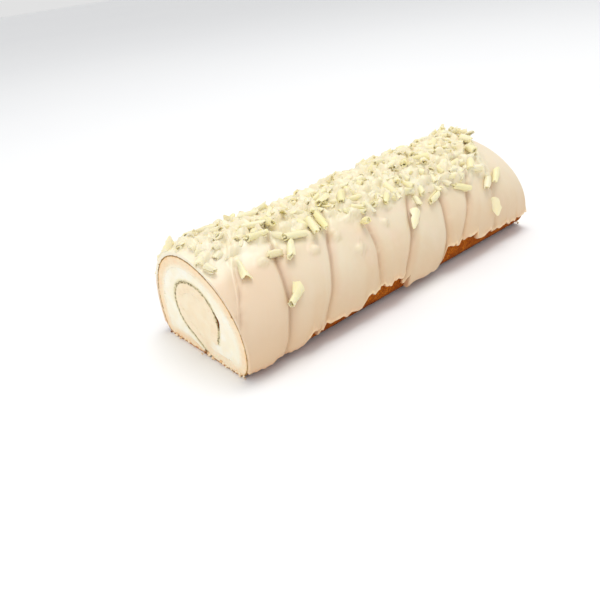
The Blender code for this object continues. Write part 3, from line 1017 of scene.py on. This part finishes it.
def icing_tree(material):
    """Bends the poured sheet round the log, and gives it its swell, seams, lip and uneven surface."""
    tree, given = start_tree("poured icing", ICING_SIZES)
    x, walk, _ = add(tree, "GeometryNodeInputPosition").split()
    angle = named(tree, "angle")
    top = named(tree, "top")
    band = named(tree, "in_band")
    to_seam = named(tree, "to_seam")
    to_edge = named(tree, "to_edge")
    flat = vector(tree, x, walk, 0.0)
    streaks = vector(tree, x, walk * 0.22, 0.0)
    soft = noise(flat, 15 * MM, given["Seed"], 1.0) - 0.5
    runs = noise(streaks, 3.5 * MM, given["Seed"], 1.0) - 0.5
    crown_lumps = named(tree, "crown") * noise(flat, 5 * MM, given["Seed"], 1.0).fade(0.38, 0.64)
    torn_rim = named(tree, "lifted") * (1 - to_edge.fade(0.6 * MM, 3 * MM))
    rim_lumps = torn_rim * (noise(flat, 2.4 * MM, 16.0) - 0.3)
    groove = (to_seam / given["Seam Half Width"]) ** 2.0
    swell = (1 - abs(band * 2.0 - 1.0) ** 3.0) * named(tree, "band_width").fade(0.0, 12 * MM)
    swell = swell * abs(x).fade(HALF_LENGTH, HALF_LENGTH - 12 * MM)
    thickness = (
        given["Thickness"]
        + given["Swell"] * swell
        + given["Lap"] * (band - 0.5) * named(tree, "marked")
        - given["Seam Depth"] * named(tree, "marked") * (-1.0 * groove).exp()
        + given["Lumps"] * (soft * 1.6 + runs * 0.6)
        + (given["Crown Depth"] + named(tree, "heap")) * named(tree, "crown")
        + given["Crown Lumps"] * crown_lumps
        + given["Bead"] * (1 - to_edge.fade(0.8 * MM, 4.5 * MM))
        + given["Rim Lumps"] * rim_lumps
        + named(tree, "lump")
    )
    rounded = (1 - (1 - (to_edge / given["Lip"]).clip(0.0, 1.0)) ** 2.0).clip(0.0, 1.0).sqrt()
    lift = 0.05 * MM + given["Lift"] * named(tree, "lifted") * (1 - to_edge.fade(0.0, 6 * MM))
    side, height = outline(angle)
    before, after = outline(angle - 0.01), outline(angle + 0.01)
    along_y, along_z = after[0] - before[0], after[1] - before[1]
    scale = (along_y * along_y + along_z * along_z).sqrt()
    out = lift + top * thickness * rounded
    bent = vector(tree, x, side + out * along_z / scale, height - out * along_y / scale)
    shaped = add(tree, "GeometryNodeSetPosition", {"Geometry": given["Geometry"], "Position": bent})
    end_tree(tree, shaped, material)
    return tree


def icing_material():
    """Warm ivory icing, satin, a little thinner and browner at the seams and along the lower edge. Shade is
    painted beside the seams, below the lumps and towards the lower edge, which also has painted warm light.
    """
    glow = (0.2, (1.0, 0.75, 0.5), 1.6 * MM)
    material, tree, shader, place = start_material("white chocolate icing", 0.36, 0.45, glow)
    clouds = noise(place, 24 * MM, 11.0)
    mottle = noise(place, 5 * MM, 12.0)
    blush = noise(place, 13 * MM, 17.0)
    grain = noise(place, 0.7 * MM, 13.0, 3.0)
    x = place.split()[0]
    icing = blend(clouds.fade(0.35, 0.65), (232, 218, 191), (230, 213, 183))
    icing = blend(blush.fade(0.5, 0.75) * 0.45, icing, (235, 211, 190))
    icing = blend(mottle.fade(0.45, 0.75) * 0.35, icing, (237, 218, 193))
    icing = blend(x.fade(0.05, 0.115) * 0.6, icing, (236, 221, 195))
    icing = blend((1 - x.fade(-0.105, -0.05)) * 0.8, icing, (231, 205, 175))
    pale = carried(tree, "pale")
    crown = blend(clouds.fade(0.4, 0.6), (243, 234, 205), (240, 228, 196))
    crown = blend(1 - x.fade(-0.1, -0.06), crown, (245, 235, 210))
    icing = blend(pale, icing, crown)
    on_lump = carried(tree, "lump").fade(0.0, 1.4 * MM) * (0.4 + 0.4 * pale)
    icing = blend(on_lump, icing, (244, 233, 200))
    # Painted shade below each lump; towards the far end it is browner, as painted shadow between the heaped
    # curls.
    below_lump = carried(tree, "below_lump").fade(0.1 * MM, 1.2 * MM) * 0.3
    shade = blend(x.fade(0.075, 0.1), (212, 194, 138), (216, 174, 112))
    icing = blend(below_lump, icing, shade)
    to_seam = carried(tree, "to_seam")
    broken = noise(place, 6 * MM, 14.0) * carried(tree, "marked")
    # Painted shade beside each seam, reaching farther on its +X side.
    beyond_seam = 1 - carried(tree, "in_band").fade(0.2, 0.6)
    painted_seam_shade = (1 - to_seam.fade(0.5 * MM, 2 * MM + 5 * MM * beyond_seam)) * broken.fade(0.15, 0.45)
    painted_seam_shade = painted_seam_shade * (1 - pale)
    icing = blend(painted_seam_shade * 0.65, icing, (218, 188, 160))
    # In the groove the seam is browner, partly where the sponge shows through and partly as painted shade.
    in_seam = (1 - to_seam.fade(0.4 * MM, 2.2 * MM)) * broken.fade(0.15, 0.5)
    icing = blend(in_seam * 0.55, icing, (190, 160, 130))
    to_edge = carried(tree, "to_edge")
    # Browner towards the lower edge: partly the sponge showing through the thinner icing, partly painted
    # shade and painted warm light reflected from below.
    thin = 1 - (to_edge + (mottle - 0.5) * 6 * MM).fade(0.0, 34 * MM)
    icing = blend(thin * 0.7, icing, (222, 187, 145))
    soaked = (1 - (to_edge + (blush - 0.5) * 6 * MM).fade(0.0, 4.5 * MM)) * blush.fade(0.4, 0.6)
    icing = blend(soaked * 0.6, icing, (222, 158, 110))
    crumbled = (1 - (to_edge + (mottle - 0.5) * 3 * MM).fade(0.6 * MM, 2.6 * MM)) * carried(tree, "lifted")
    icing = blend(crumbled * 0.8, icing, (250, 222, 180))
    torn = (1 - (to_edge + (mottle - 0.5) * 1.2 * MM).fade(0.1 * MM, 0.6 * MM)) * carried(tree, "lifted")
    icing = blend(torn * 0.8, icing, (196, 128, 66))
    plug(icing, shader.inputs["Base Color"])
    roughen(shader, grain, 0.02 * MM)
    return material


def cut_ends_flush(piece):
    """Cuts off what runs past the log's two ends, as the knife did, and closes the cuts."""
    shape = bmesh.new()
    shape.from_mesh(piece.data)
    for side in (-1, 1):
        everything = [*shape.verts, *shape.edges, *shape.faces]
        cut = bmesh.ops.bisect_plane(
            shape,
            geom=everything,
            plane_co=(side * HALF_LENGTH, 0, 0),
            plane_no=(side, 0, 0),
            clear_outer=True,
            dist=1e-7,
        )
        rim = [item for item in cut["geom_cut"] if isinstance(item, bmesh.types.BMEdge)]
        bmesh.ops.holes_fill(shape, edges=[edge for edge in rim if edge.is_boundary], sides=0)
    bmesh.ops.triangulate(shape, faces=[face for face in shape.faces if len(face.verts) > 4])
    shape.to_mesh(piece.data)
    shape.free()


icing = poured_sheet()
run_tree(icing, icing_tree(icing_material()), ICING_SIZES)
cut_ends_flush(icing)
slant(icing)
hand_over(icing, "icing")


# The curls
# Shavings of white chocolate that rolled up as they were scraped off the block: short hollow rolls with
# ragged ends, strewn along the crown before the icing set, so that the lowest are stuck in it.
# How far out from the sponge's skin the underside of a lying curl is, and how much thicker the curls are
# than the solid ones
CURL_BED = 0.0016
CURL_PLUMPER = 1.15
# Rolls placed one by one: x, distance from the crown along the skin, turn, tilt, length, the share of icing
# in their colour, and how far they are raised
SINGLE_ROLLS_MM = (
    (-118, 18, 70, 3, 6, 0.9, 0.5),
    (-108, -14, 100, 15, 7, 0.9, 0),
    (-103, -20, 143, 3, 10, 0.8, 1.2),
    (-97.5, -13, 62, 4, 13.5, 0.8, 1.4),
    (-84, 12, 9, 4, 12, 0.3, 1.6),
    (-82, 25, 15, 3, 8, 0.8, 0),
    (-80, 4, 24, 4, 13, 0.4, 1.8),
    (-73, 26.5, 128, 8, 12, 0.1, 0),
    (-71, 7, 95, 20, 8, 0.2, 1.4),
    (-71.5, -12, 30, 3, 13, 0.4, 0.4),
    (-65.5, 21, 17, 3, 12.5, 0.2, 0.6),
    (-51.5, 19, 112, 10, 14.5, 0, 0.4),
    (-44.5, 18.5, 108, 8, 15, 0, 0.4),
    (-30.5, 6.5, 159, 4, 11, 0.2, 1.6),
    (-22, 31, 100, 55, 6, 0.2, 0),
    (-20, 10, 134, 8, 12, 0.1, 1),
    (5, 22.5, 143, 8, 12, 0.1, 0.8),
    (23, 32, 98, 0, 6, 0.6, 0),
    (36.5, 35, 165, 8, 11.5, 0.5, 0),
    (61.5, 36.5, 32, 3, 11.5, 0.2, 0),
    (84.5, 40.5, 143, 6, 10, 0.5, 0),
    (95.5, 39, 147, 8, 13, 0.1, 0),
    (-96, -58, 35, 5, 9, 0.1, 0),
    (-52, -55, 80, 5, 8, 0.1, 0),
    (-9, -60, 15, 5, 10, 0.1, 0),
    (28, -54, 60, 0, 7, 0.1, 0),
    (73, -57, 100, 5, 9, 0.1, 0),
)
# The ways a curl is rolled, each with turns, thickness of the wall, radius of the hollow, flare, skew and
# how ragged it is. The last one is the opened curl, which also has how far it opens where it is wider
ROLLINGS = (
    (1.2, 0.42, 0.13, 0.05, 0.3, 0.12),
    (1.5, 0.36, 0.04, -0.25, -0.5, 0.18),
    (1.6, 0.34, 0.02, 0.2, 0.6, 0.2),
    (1.35, 0.4, 0.05, 0.3, 0.0, 0.12),
    (1.7, 0.32, 0.02, -0.15, 0.4, 0.22),
    (1.25, 0.44, 0.03, 0.2, -0.3, 0.15),
    (0.72, 0.2, 0.6, -0.85, 0.3, 0.12, 1.0),
)
# The broken ones that never rolled up, each with how far round it is bent, its widths at the start, the
# middle and the end, and its lean
SHARDS = (
    (2.1, 1.05, 0.7, 0.2, 0.4),
    (1.4, 0.9, 0.6, 0.1, -0.5),
    (2.3, 1.0, 0.62, 0.3, 0.1),
    (1.1, 0.9, 1.3, 0.5, 0.2),
)
# A curl's kind is its number among the rollings and then the shards
TIGHT_KINDS = (1, 2, 4)
ROLL_KINDS = 6
OPENED, BROAD_SHARD, SLIM_SHARD, WEDGE, KITE = range(ROLL_KINDS, ROLL_KINDS + 5)
# Broken ones, each with x, distance from the crown, turn, tilt, turn about its own length, length, half
# width, kind, and share of icing
FLAKES_MM = (
    (-117.5, -19, 0, 58, 90, 6.5, 3.2, BROAD_SHARD, 1),
    (-84, -11, 180, 75, -90, 7.5, 3.6, BROAD_SHARD, 0.8),
    (-103.5, 26, -79, 6, 20, 10.5, 2.3, OPENED, 0.1),
    (-86.5, 48, 139, 10, -20, 11, 3.4, OPENED, 0.1),
    (13, 41, 143, 4, 0, 13, 3.2, WEDGE, 0.1),
    (84, 56, 105, 6, 50, 10, 4.4, KITE, 0.7),
    (45.5, 29.5, 60, 16, 0, 7, 1.9, SLIM_SHARD, 0.2),
    (19.5, 25, 40, 20, 0, 7, 1.9, SLIM_SHARD, 0.2),
    (-58, 4, 150, 40, 0, 8.5, 3, BROAD_SHARD, 0.4),
    (-33, 12, 80, 30, 0, 8, 2.6, SLIM_SHARD, 0.3),
    (51, 18, 140, 38, 0, 8, 3, BROAD_SHARD, 0.3),
    (20, -3, 20, 44, 0, 8, 3, BROAD_SHARD, 0.3),
)
# How far out from the sponge's skin the middle of a broken one is, when it lies flat
FLAKE_BED = 0.0028
# More curls than the solid ones: some fill the gaps, half sunk in the icing, and some lie on top of the
# others
SUNK_CURLS = {
    "count": 220,
    "spacing": 0.0050,
    "radii": (0.0016, 0.0025),
    "lengths": (0.0045, 0.0085),
    "raised": (-0.0012, -0.0003, 0.0006),
}
TOP_CURLS = {
    "count": 70,
    "spacing": 0.0085,
    "radii": (0.0019, 0.0026),
    "lengths": (0.006, 0.0115),
    "raised": (0.0002, 0.0004, 0.0016),
}
# The share of icing in their colour, and in that of those that are half sunk
CURL_ICED = (0.1, 0.8)
SUNK_CURL_ICED = (0.4, 1.0)
# From here to here towards the near end, the curls sink more and more into the icing, which colours them
# too
NEAR_ICED_X = (-0.074, -0.098)
NEAR_SUNK = 0.0005
BROKEN_SHARE = 0.22
# The curls that aren't solid ones keep this far clear of the near cut, and are tilted between these angles
CLEAR_OF_CUT = 0.002
MORE_TILTS = (-12, 16)
# How many faces a rolled one has from its inner end to its outer end
ROLL_STEPS = 11


def skin_frame(across):
    """The point at a distance from the crown along the skin, the way out of it, and the way down it."""
    angle = float(np.interp(across, skin_walk, skin_angles))
    here = np.array(outline(np.float64(angle)))
    along = np.array(outline(np.float64(angle + 0.01))) - np.array(outline(np.float64(angle - 0.01)))
    along /= np.linalg.norm(along)
    return Vector((0, *here)), Vector((0, along[1], -along[0])), Vector((0, *along))


def more_curls(draw, count, spacing, radii, lengths, raised):
    """Further curls over the crown, like the strewn ones, each with how far it is raised: by less or more
    along the log, as its raised says for the near end, the middle and the far end."""
    curls = []
    for x, across in free_spots(draw, STREWN_X[0] + CLEAR_OF_CUT, spacing, curls):
        if x > strewn_end(across):
            continue
        size = (draw.uniform(*lengths), draw.uniform(*radii))
        high = float(np.interp(x, (STREWN_X[0], 0.0, STREWN_X[1]), raised))
        curls.append((x, across, draw.uniform(0, 180), draw.uniform(*MORE_TILTS), *size, high))
        if len(curls) == count:
            break
    return curls


def placed(draw, curl, bed, kind, spin, iced):
    """A point that carries how a curl lies on the skin: its axis and the side it turns outwards, its kind,
    its sizes and its tint."""
    x, across, turn, tilt, length, radius = curl
    skin, normal, downhill = skin_frame(across)
    turned, up = math.radians(turn), math.radians(tilt)
    flat = Vector((math.cos(turned), 0, 0)) + downhill * math.sin(turned)
    middle = skin + normal * (bed + abs(math.sin(up)) * length / 2)
    return {
        "at": Vector((slanted_x(x, skin.z), 0, 0)) + middle,
        "axis": flat * math.cos(up) + normal * math.sin(up),
        "outside": normal,
        "spin": spin,
        "kind": kind,
        "length": length,
        "radius": radius,
        "tint": draw.random(),
        "iced": iced,
    }


def placed_roll(draw, curl, raised, iced):
    """A roll of some kind, or now and then a broken one. The nearer to the near end, the more icing is on
    it."""
    *pose, radius = curl
    kind = draw.randrange(ROLL_KINDS)
    if draw.random() < BROKEN_SHARE:
        kind = draw.choice((OPENED, BROAD_SHARD, SLIM_SHARD))
    near = float(np.interp(-curl[0], (-NEAR_ICED_X[0], -NEAR_ICED_X[1]), (0, 1)))
    bed = CURL_BED + radius + raised * (1 - near) - NEAR_SUNK * near + float(heap(curl[0]))
    spin = draw.uniform(0, 2 * math.pi)
    return placed(draw, (*pose, radius * CURL_PLUMPER), bed, kind, spin, iced + (0.9 - iced) * near)


def curl_places():
    """All curls: the single ones and the broken ones, the strewn solid ones, and those between and above
    them."""
    draw = random.Random(CURL_SEED + 1)
    places = []
    radius = sum(CURL_RADII) / 2 * CURL_PLUMPER
    for x, across, turn, tilt, length, iced, raised in SINGLE_ROLLS_MM:
        curl = (x * MM, across * MM, turn, tilt, length * MM, radius)
        bed = CURL_BED + radius + raised * MM
        places.append(placed(draw, curl, bed, draw.choice(TIGHT_KINDS), draw.uniform(0, 6), float(iced)))
    for x, across, turn, tilt, spin, length, half_width, kind, iced in FLAKES_MM:
        curl = (x * MM, across * MM, turn, tilt, length * MM, half_width * MM)
        places.append(placed(draw, curl, FLAKE_BED, kind, math.radians(spin), float(iced)))
    for curl in strewn_curls() + heaped_curls():
        places.append(placed_roll(draw, curl, 0.0, draw.uniform(*CURL_ICED)))
    for *curl, raised in more_curls(draw, **SUNK_CURLS):
        places.append(placed_roll(draw, curl, raised, draw.uniform(*SUNK_CURL_ICED)))
    for *curl, raised in more_curls(draw, **TOP_CURLS):
        places.append(placed_roll(draw, curl, raised, draw.uniform(*CURL_ICED)))
    return places


def points_with(name, places):
    """A piece with one point for each place, which carries what the place says."""
    piece = new_piece(name, [place["at"] for place in places], [])
    layer_types = {Vector: ("FLOAT_VECTOR", "vector"), int: ("INT", "value"), float: ("FLOAT", "value")}
    for key in places[0]:
        if key == "at":
            continue
        numbers = [place[key] for place in places]
        data_type, field = layer_types[type(numbers[0])]
        layer = piece.data.attributes.new(key, data_type, "POINT")
        layer.data.foreach_set(field, np.ravel(numbers).tolist())
    return piece


def unit_slab(tree, steps_round, steps_along):
    """A slab one unit in size, and where each point is: round the curl, through its wall and along it."""
    counts = {"Vertices X": steps_round + 1, "Vertices Y": 2, "Vertices Z": steps_along + 1}
    slab = add(tree, "GeometryNodeMeshCube", {"Size": (1, 1, 1), **counts})
    return slab, *add(tree, "GeometryNodeInputPosition").split()


def bent_slab(tree, slab, outwards, position):
    """The slab with its points moved. It carries how far out in the curl each of them is."""
    given = {"Geometry": slab, "Name": "outwards", "Value": outwards}
    marked = add(tree, "GeometryNodeStoreNamedAttribute", given, domain="POINT", data_type="FLOAT")
    return add(tree, "GeometryNodeSetPosition", {"Geometry": marked, "Position": position})


def rolled_shaving(tree, turns, wall, inner, flare, skew, ragged, opening=0.0):
    """One shaving rolled up about Z, one unit long and one unit in radius: a thin slab that the tree winds
    up, less far where an opening one is wider. It is a little stouter in the middle, and its hollow widens
    to both ends."""
    slab, around, across, along = unit_slab(tree, ROLL_STEPS, 2)
    around = around + 0.5
    outwards = around * (1 - wall) + wall * (across + 0.5)
    bulge = 1 + flare * along + 0.16 * (1 - abs(along) * 2.0)
    hollow = inner * (0.15 + abs(along) * 1.7)
    radius = (hollow + (1 - hollow - wall) * around + wall * (across + 0.5)) * bulge
    wound = (around - 0.5) * (-2 * math.pi * turns) / (1 + opening * (bulge - 1))
    angle = wound + skew * along + math.pi / 2
    uneven = 1 + ragged * (around * 9.7 + along * 3.0).sin() + ragged * (around * 23.0).cos() * 0.5
    lengthwise = along * uneven + ragged * (around - 0.5)
    rolled = vector(tree, radius * np.cos(angle), radius * np.sin(angle), lengthwise)
    return bent_slab(tree, slab, outwards, rolled)


def bent_plate(tree, arc, start_width, middle_width, end_width, lean, steps=5):
    """A shaving that broke before it rolled up: a thin bent plate of these widths at its start, middle and
    end."""
    plate, around, across, along = unit_slab(tree, steps, steps)
    from_start = (along * -2.0).clip(0.0, 1.0)
    to_end = (along * 2.0).clip(0.0, 1.0)
    width = middle_width + (start_width - middle_width) * from_start + (end_width - middle_width) * to_end
    angle = around * arc * width * (1 + 0.16 * (along * 11.0).sin()) + lean * along
    radius = 1.15 + 0.22 * across
    lengthwise = along * (1 + 0.25 * (around * 3.0).cos())
    bent = vector(tree, radius * np.sin(angle), radius * np.cos(angle) - 0.75, lengthwise)
    return bent_slab(tree, plate, across * 0.4 + 0.8, bent)


def strew_tree(name, shapes, material):
    """Puts one of the shapes at each point, along its axis and at its size, and roughens it."""
    tree, given = start_tree(name, ("Uneven", "Uneven Size", "Seed"))
    kinds = tree.nodes.new("GeometryNodeGeometryToInstance")
    for shape in reversed([make(tree) for make in shapes]):
        tree.links.new(shape.socket, kinds.inputs[0])
    spun = add(tree, "FunctionNodeAxisAngleToRotation", {"Axis": (0, 0, 1), "Angle": named(tree, "spin")})
    axis, outside = named(tree, "axis", "FLOAT_VECTOR"), named(tree, "outside", "FLOAT_VECTOR")
    lying = add(tree, "FunctionNodeAlignRotationToVector", {"Vector": axis}, axis="Z")
    given_turn = {"Rotation": lying, "Vector": outside}
    facing = add(tree, "FunctionNodeAlignRotationToVector", given_turn, axis="Y", pivot_axis="Z")
    given_turn = {"Rotation": facing, "Rotate By": spun}
    turned = add(tree, "FunctionNodeRotateRotation", given_turn, rotation_space="LOCAL")
    radius = named(tree, "radius")
    copies = add(
        tree,
        "GeometryNodeInstanceOnPoints",
        {
            "Points": given["Geometry"],
            "Instance": Value(tree, kinds.outputs[0]),
            "Pick Instance": True,
            "Instance Index": named(tree, "kind", "INT"),
            "Rotation": turned,
            "Scale": vector(tree, radius, radius, named(tree, "length")),
        },
    )
    real = add(tree, "GeometryNodeRealizeInstances", {"Geometry": copies})
    place = add(tree, "GeometryNodeInputPosition")
    cloud = add(
        tree,
        "ShaderNodeTexNoise",
        {"Vector": place, "W": given["Seed"], "Scale": 1 / given["Uneven Size"], "Detail": 1.0},
        output=1,
        noise_dimensions="4D",
    )
    pushed = add(tree, "ShaderNodeVectorMath", {0: cloud, 1: (0.5, 0.5, 0.5)}, operation="SUBTRACT")
    offset = pushed.scaled(given["Uneven"])
    shaped = add(tree, "GeometryNodeSetPosition", {"Geometry": real, "Offset": offset})
    end_tree(tree, shaped, material)
    return tree


def curl_material():
    """Pale yellow white chocolate, a little translucent, with painted yellow shade in the hollows of the
    rolls.
    The sunk curls have icing on them."""
    glow = (0.4, (1.0, 0.9, 0.5), 1.5 * MM)
    material, tree, shader, place = start_material("white chocolate curls", 0.42, 0.45, glow)
    grain = noise(place, 0.6 * MM, 21.0, 3.0)
    chocolate = blend(carried(tree, "tint"), (248, 239, 202), (244, 232, 172))
    chocolate = blend(grain.fade(0.5, 0.8) * 0.3, chocolate, (246, 228, 168))
    chocolate = blend(carried(tree, "iced"), chocolate, (244, 233, 201))
    # The inner turns of the rolls are painted yellower, as shade in their hollows.
    chocolate = blend(carried(tree, "outwards").fade(0.0, 0.5), (250, 238, 186), chocolate)
    plug(chocolate, shader.inputs["Base Color"])
    roughen(shader, grain, 0.05 * MM)
    return material


def makers(make, shapes):
    """What makes each of these shapes in a tree."""
    return [lambda tree, sizes=sizes: make(tree, *sizes) for sizes in shapes]


chocolate = curl_material()
curls = points_with("chocolate_curls", curl_places())
run_tree(
    curls,
    strew_tree("strewn curls", makers(rolled_shaving, ROLLINGS) + makers(bent_plate, SHARDS), chocolate),
    {"Uneven": 1.4 * MM, "Uneven Size": 3.2 * MM, "Seed": 22},
)
hand_over(curls, "icing", math.radians(60))


# The bits of curls
# Splinters and dust that broke off the curls as they were strewn: small bent chips on and between them,
# stuck in the icing.
BITS = 560
BIT_LENGTHS = (0.0012, 0.0036)
BIT_HALF_WIDTHS = (0.0006, 0.0013)
BIT_TILTS = (-25, 50)
BIT_BEDS = (0.0026, 0.0054)
BITS_PAST_CURLS = 0.006
# The shapes of the bits, as those of the shards, with how many faces they are across
CHIPS = (
    (1.8, 0.9, 1.1, 0.4, 0.3, 2),
    (1.2, 0.5, 1.2, 0.8, -0.4, 2),
)


def bit_places():
    """The bits: all over the crown at different heights, and a few just in front of it and behind it."""
    draw = random.Random(CURL_SEED + 2)
    places = []
    for _ in range(BITS):
        x = draw.uniform(*STREWN_X)
        front = strewn_front(x)
        across = draw.triangular(STREWN_BACK - BITS_PAST_CURLS, front + BITS_PAST_CURLS)
        x = min(x, strewn_end(across))
        inwards = min(across - STREWN_BACK, front - across, x - STREWN_X[0], strewn_end(across) - x)
        high = BIT_BEDS[0] + (BIT_BEDS[1] - BIT_BEDS[0]) * min(1.0, max(0.0, inwards / CROWN_BLEND))
        size = (draw.uniform(*BIT_LENGTHS), draw.uniform(*BIT_HALF_WIDTHS))
        bit = (x, across, draw.uniform(0, 360), draw.uniform(*BIT_TILTS), *size)
        bed = draw.uniform(BIT_BEDS[0], high) + float(heap(x))
        places.append(placed(draw, bit, bed, draw.randrange(2), draw.uniform(0, 6), draw.uniform(0, 0.6)))
    return places


bits = points_with("chocolate_bits", bit_places())
run_tree(
    bits,
    strew_tree("strewn bits", makers(bent_plate, CHIPS), chocolate),
    {"Uneven": 0.7 * MM, "Uneven Size": 1.6 * MM, "Seed": 23},
)
hand_over(bits, "icing", math.radians(60))


# The crumbs
# Crumbs of baked sponge and of its brown skin that the knife tore loose: they cling along the lower edges
# of both cut faces, and a few lie beside them.
CRUMB_SEED = 41
NEAR_CRUMBS = 95
FAR_CRUMBS = 80
CRUMB_RADII = (0.0002, 0.0010)
CRUMB_SPREAD = 0.0004
CRUMB_SUNK = 0.0004
FARTHEST_CRUMB = 0.004
CRUMB_RISE = (0.0002, 0.0014)
# How much of the log's width has crumbs, how steeply they can point up, and how long they are for their
# width
CRUMBED_WIDTH = 0.9
CRUMB_SLOPE = 0.3
CRUMB_STRETCH = (0.8, 1.5)


def crumb_places():
    """The crumbs of both cut faces, low down along the foot of each."""
    draw = random.Random(CRUMB_SEED)
    places = []
    for side, count in ((-1, NEAR_CRUMBS), (1, FAR_CRUMBS)):
        for _ in range(count):
            radius = CRUMB_RADII[0] + (CRUMB_RADII[1] - CRUMB_RADII[0]) * draw.random() ** 2
            out = min(FARTHEST_CRUMB, draw.expovariate(1 / CRUMB_SPREAD)) - CRUMB_SUNK
            y = draw.uniform(-HALF_WIDTH, HALF_WIDTH) * CRUMBED_WIDTH
            up = draw.uniform(*CRUMB_RISE) if out < CRUMB_SPREAD else CRUMB_RISE[0]
            axis = (draw.uniform(-1, 1), draw.uniform(-1, 1), draw.uniform(-CRUMB_SLOPE, CRUMB_SLOPE))
            places.append(
                {
                    "at": Vector((side * (HALF_LENGTH + out), y, radius + up)),
                    "axis": Vector(axis).normalized(),
                    "outside": Vector((0, 0, 1)),
                    "spin": 0.0,
                    "kind": 0,
                    "length": radius * draw.uniform(*CRUMB_STRETCH),
                    "radius": radius,
                    "tint": draw.random(),
                }
            )
    return places


def crumb_material():
    """Matt sponge crumbs, from pale peach to the golden brown of the skin."""
    material, tree, shader, place = start_material("sponge crumbs", 0.9, 0.2)
    grain = noise(place, 0.4 * MM, 42.0, 2.0)
    tint = carried(tree, "tint")
    colour = blend(tint.fade(0.5, 0.95), (252, 234, 202), (234, 188, 136))
    colour = blend(tint.fade(0.93, 0.95), colour, (136, 84, 42))
    colour = blend(grain.fade(0.5, 0.7) * 0.25, colour, (206, 146, 92))
    plug(colour, shader.inputs["Base Color"])
    return material


def round_crumb(tree):
    return add(tree, "GeometryNodeMeshIcoSphere", {"Radius": 1.0, "Subdivisions": 2})


crumbs = points_with("sponge_crumbs", crumb_places())
run_tree(
    crumbs,
    strew_tree("fallen crumbs", [round_crumb], crumb_material()),
    {"Uneven": 0.7 * MM, "Uneven Size": 1.3 * MM, "Seed": 43},
)
hand_over(crumbs, "sponge")


# The floor, the light and the camera
# A pale studio table, a large soft light overhead, a weaker one beside the near cut, and white
# surroundings. The camera looks down on the near cut end, as the photograph does.
FLOOR_SIZE = 12.0
# Each lamp's name, place, size, power and colour. Both aim at the middle of the log, and the surroundings
# are this strong
LAMPS = (
    ("key", (0.3, 0.1, 1.6), 0.8, 11.0, (1.0, 0.99, 0.97)),
    ("fill", (-1.2, -0.3, 0.45), 1.0, 2.4, (1.0, 0.98, 0.95)),
)
LAMP_AIM = Vector((0, 0, 0.03))
SURROUNDING_LIGHT = 0.76
CAMERA_TURN = math.radians(-36.81)
CAMERA_RISE = math.radians(28.20)
CAMERA_ROLL = math.radians(-7.95)
CAMERA_DISTANCE = 0.3372
CAMERA_TARGET = Vector((-0.0805, -0.0382, 0.03))
CAMERA_LENS = 38.5
CAMERA_SHIFT_Y = -0.003


def lay_floor():
    half = FLOOR_SIZE / 2
    corners = [(-half, -half, 0), (half, -half, 0), (half, half, 0), (-half, half, 0)]
    floor = new_piece("floor", corners, [(0, 1, 2, 3)])
    material, _, shader, place = start_material("pale table", 0.6, 0.2)
    cloud = noise(place, 0.4, 31.0)
    plug(blend(cloud, (244, 245, 247), (247, 248, 249)), shader.inputs["Base Color"])
    floor.data.materials.append(material)
    floor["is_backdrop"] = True


def add_light(name, place, size, power, colour):
    lamp = bpy.data.lights.new(name, "AREA")
    lamp.size = size
    lamp.energy = power
    lamp.color = colour
    holder = bpy.data.objects.new(name, lamp)
    holder.location = place
    holder.rotation_euler = (LAMP_AIM - Vector(place)).to_track_quat("-Z", "Y").to_euler()
    bpy.context.scene.collection.objects.link(holder)


def place_camera():
    """The camera on its sight line, turned about it by the tilt of the photograph."""
    back = Vector(
        (
            math.sin(CAMERA_TURN) * math.cos(CAMERA_RISE),
            -math.cos(CAMERA_TURN) * math.cos(CAMERA_RISE),
            math.sin(CAMERA_RISE),
        )
    )
    right = Vector((0, 0, 1)).cross(back).normalized()
    up = back.cross(right)
    facing = Matrix((right, up, back)).transposed() @ Matrix.Rotation(CAMERA_ROLL, 3, "Z")
    camera = bpy.data.cameras.new("camera")
    camera.lens = CAMERA_LENS
    camera.shift_y = CAMERA_SHIFT_Y
    camera.clip_start = 0.01
    holder = bpy.data.objects.new("camera", camera)
    holder.matrix_world = Matrix.Translation(CAMERA_TARGET + back * CAMERA_DISTANCE) @ facing.to_4x4()
    bpy.context.scene.collection.objects.link(holder)
    bpy.context.scene.camera = holder


lay_floor()
for lamp in LAMPS:
    add_light(*lamp)
surroundings = bpy.data.worlds.new("white surroundings")
surroundings.use_nodes = True
backdrop = surroundings.node_tree.nodes["Background"]
backdrop.inputs["Color"].default_value = (1.0, 1.0, 1.0, 1.0)
backdrop.inputs["Strength"].default_value = SURROUNDING_LIGHT
bpy.context.scene.world = surroundings
bpy.context.scene.view_settings.view_transform = "Standard"
place_camera()

boxes = {"cad": cad_box, "visual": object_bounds()}
{name: [list(corner) for corner in box] for name, box in boxes.items()}
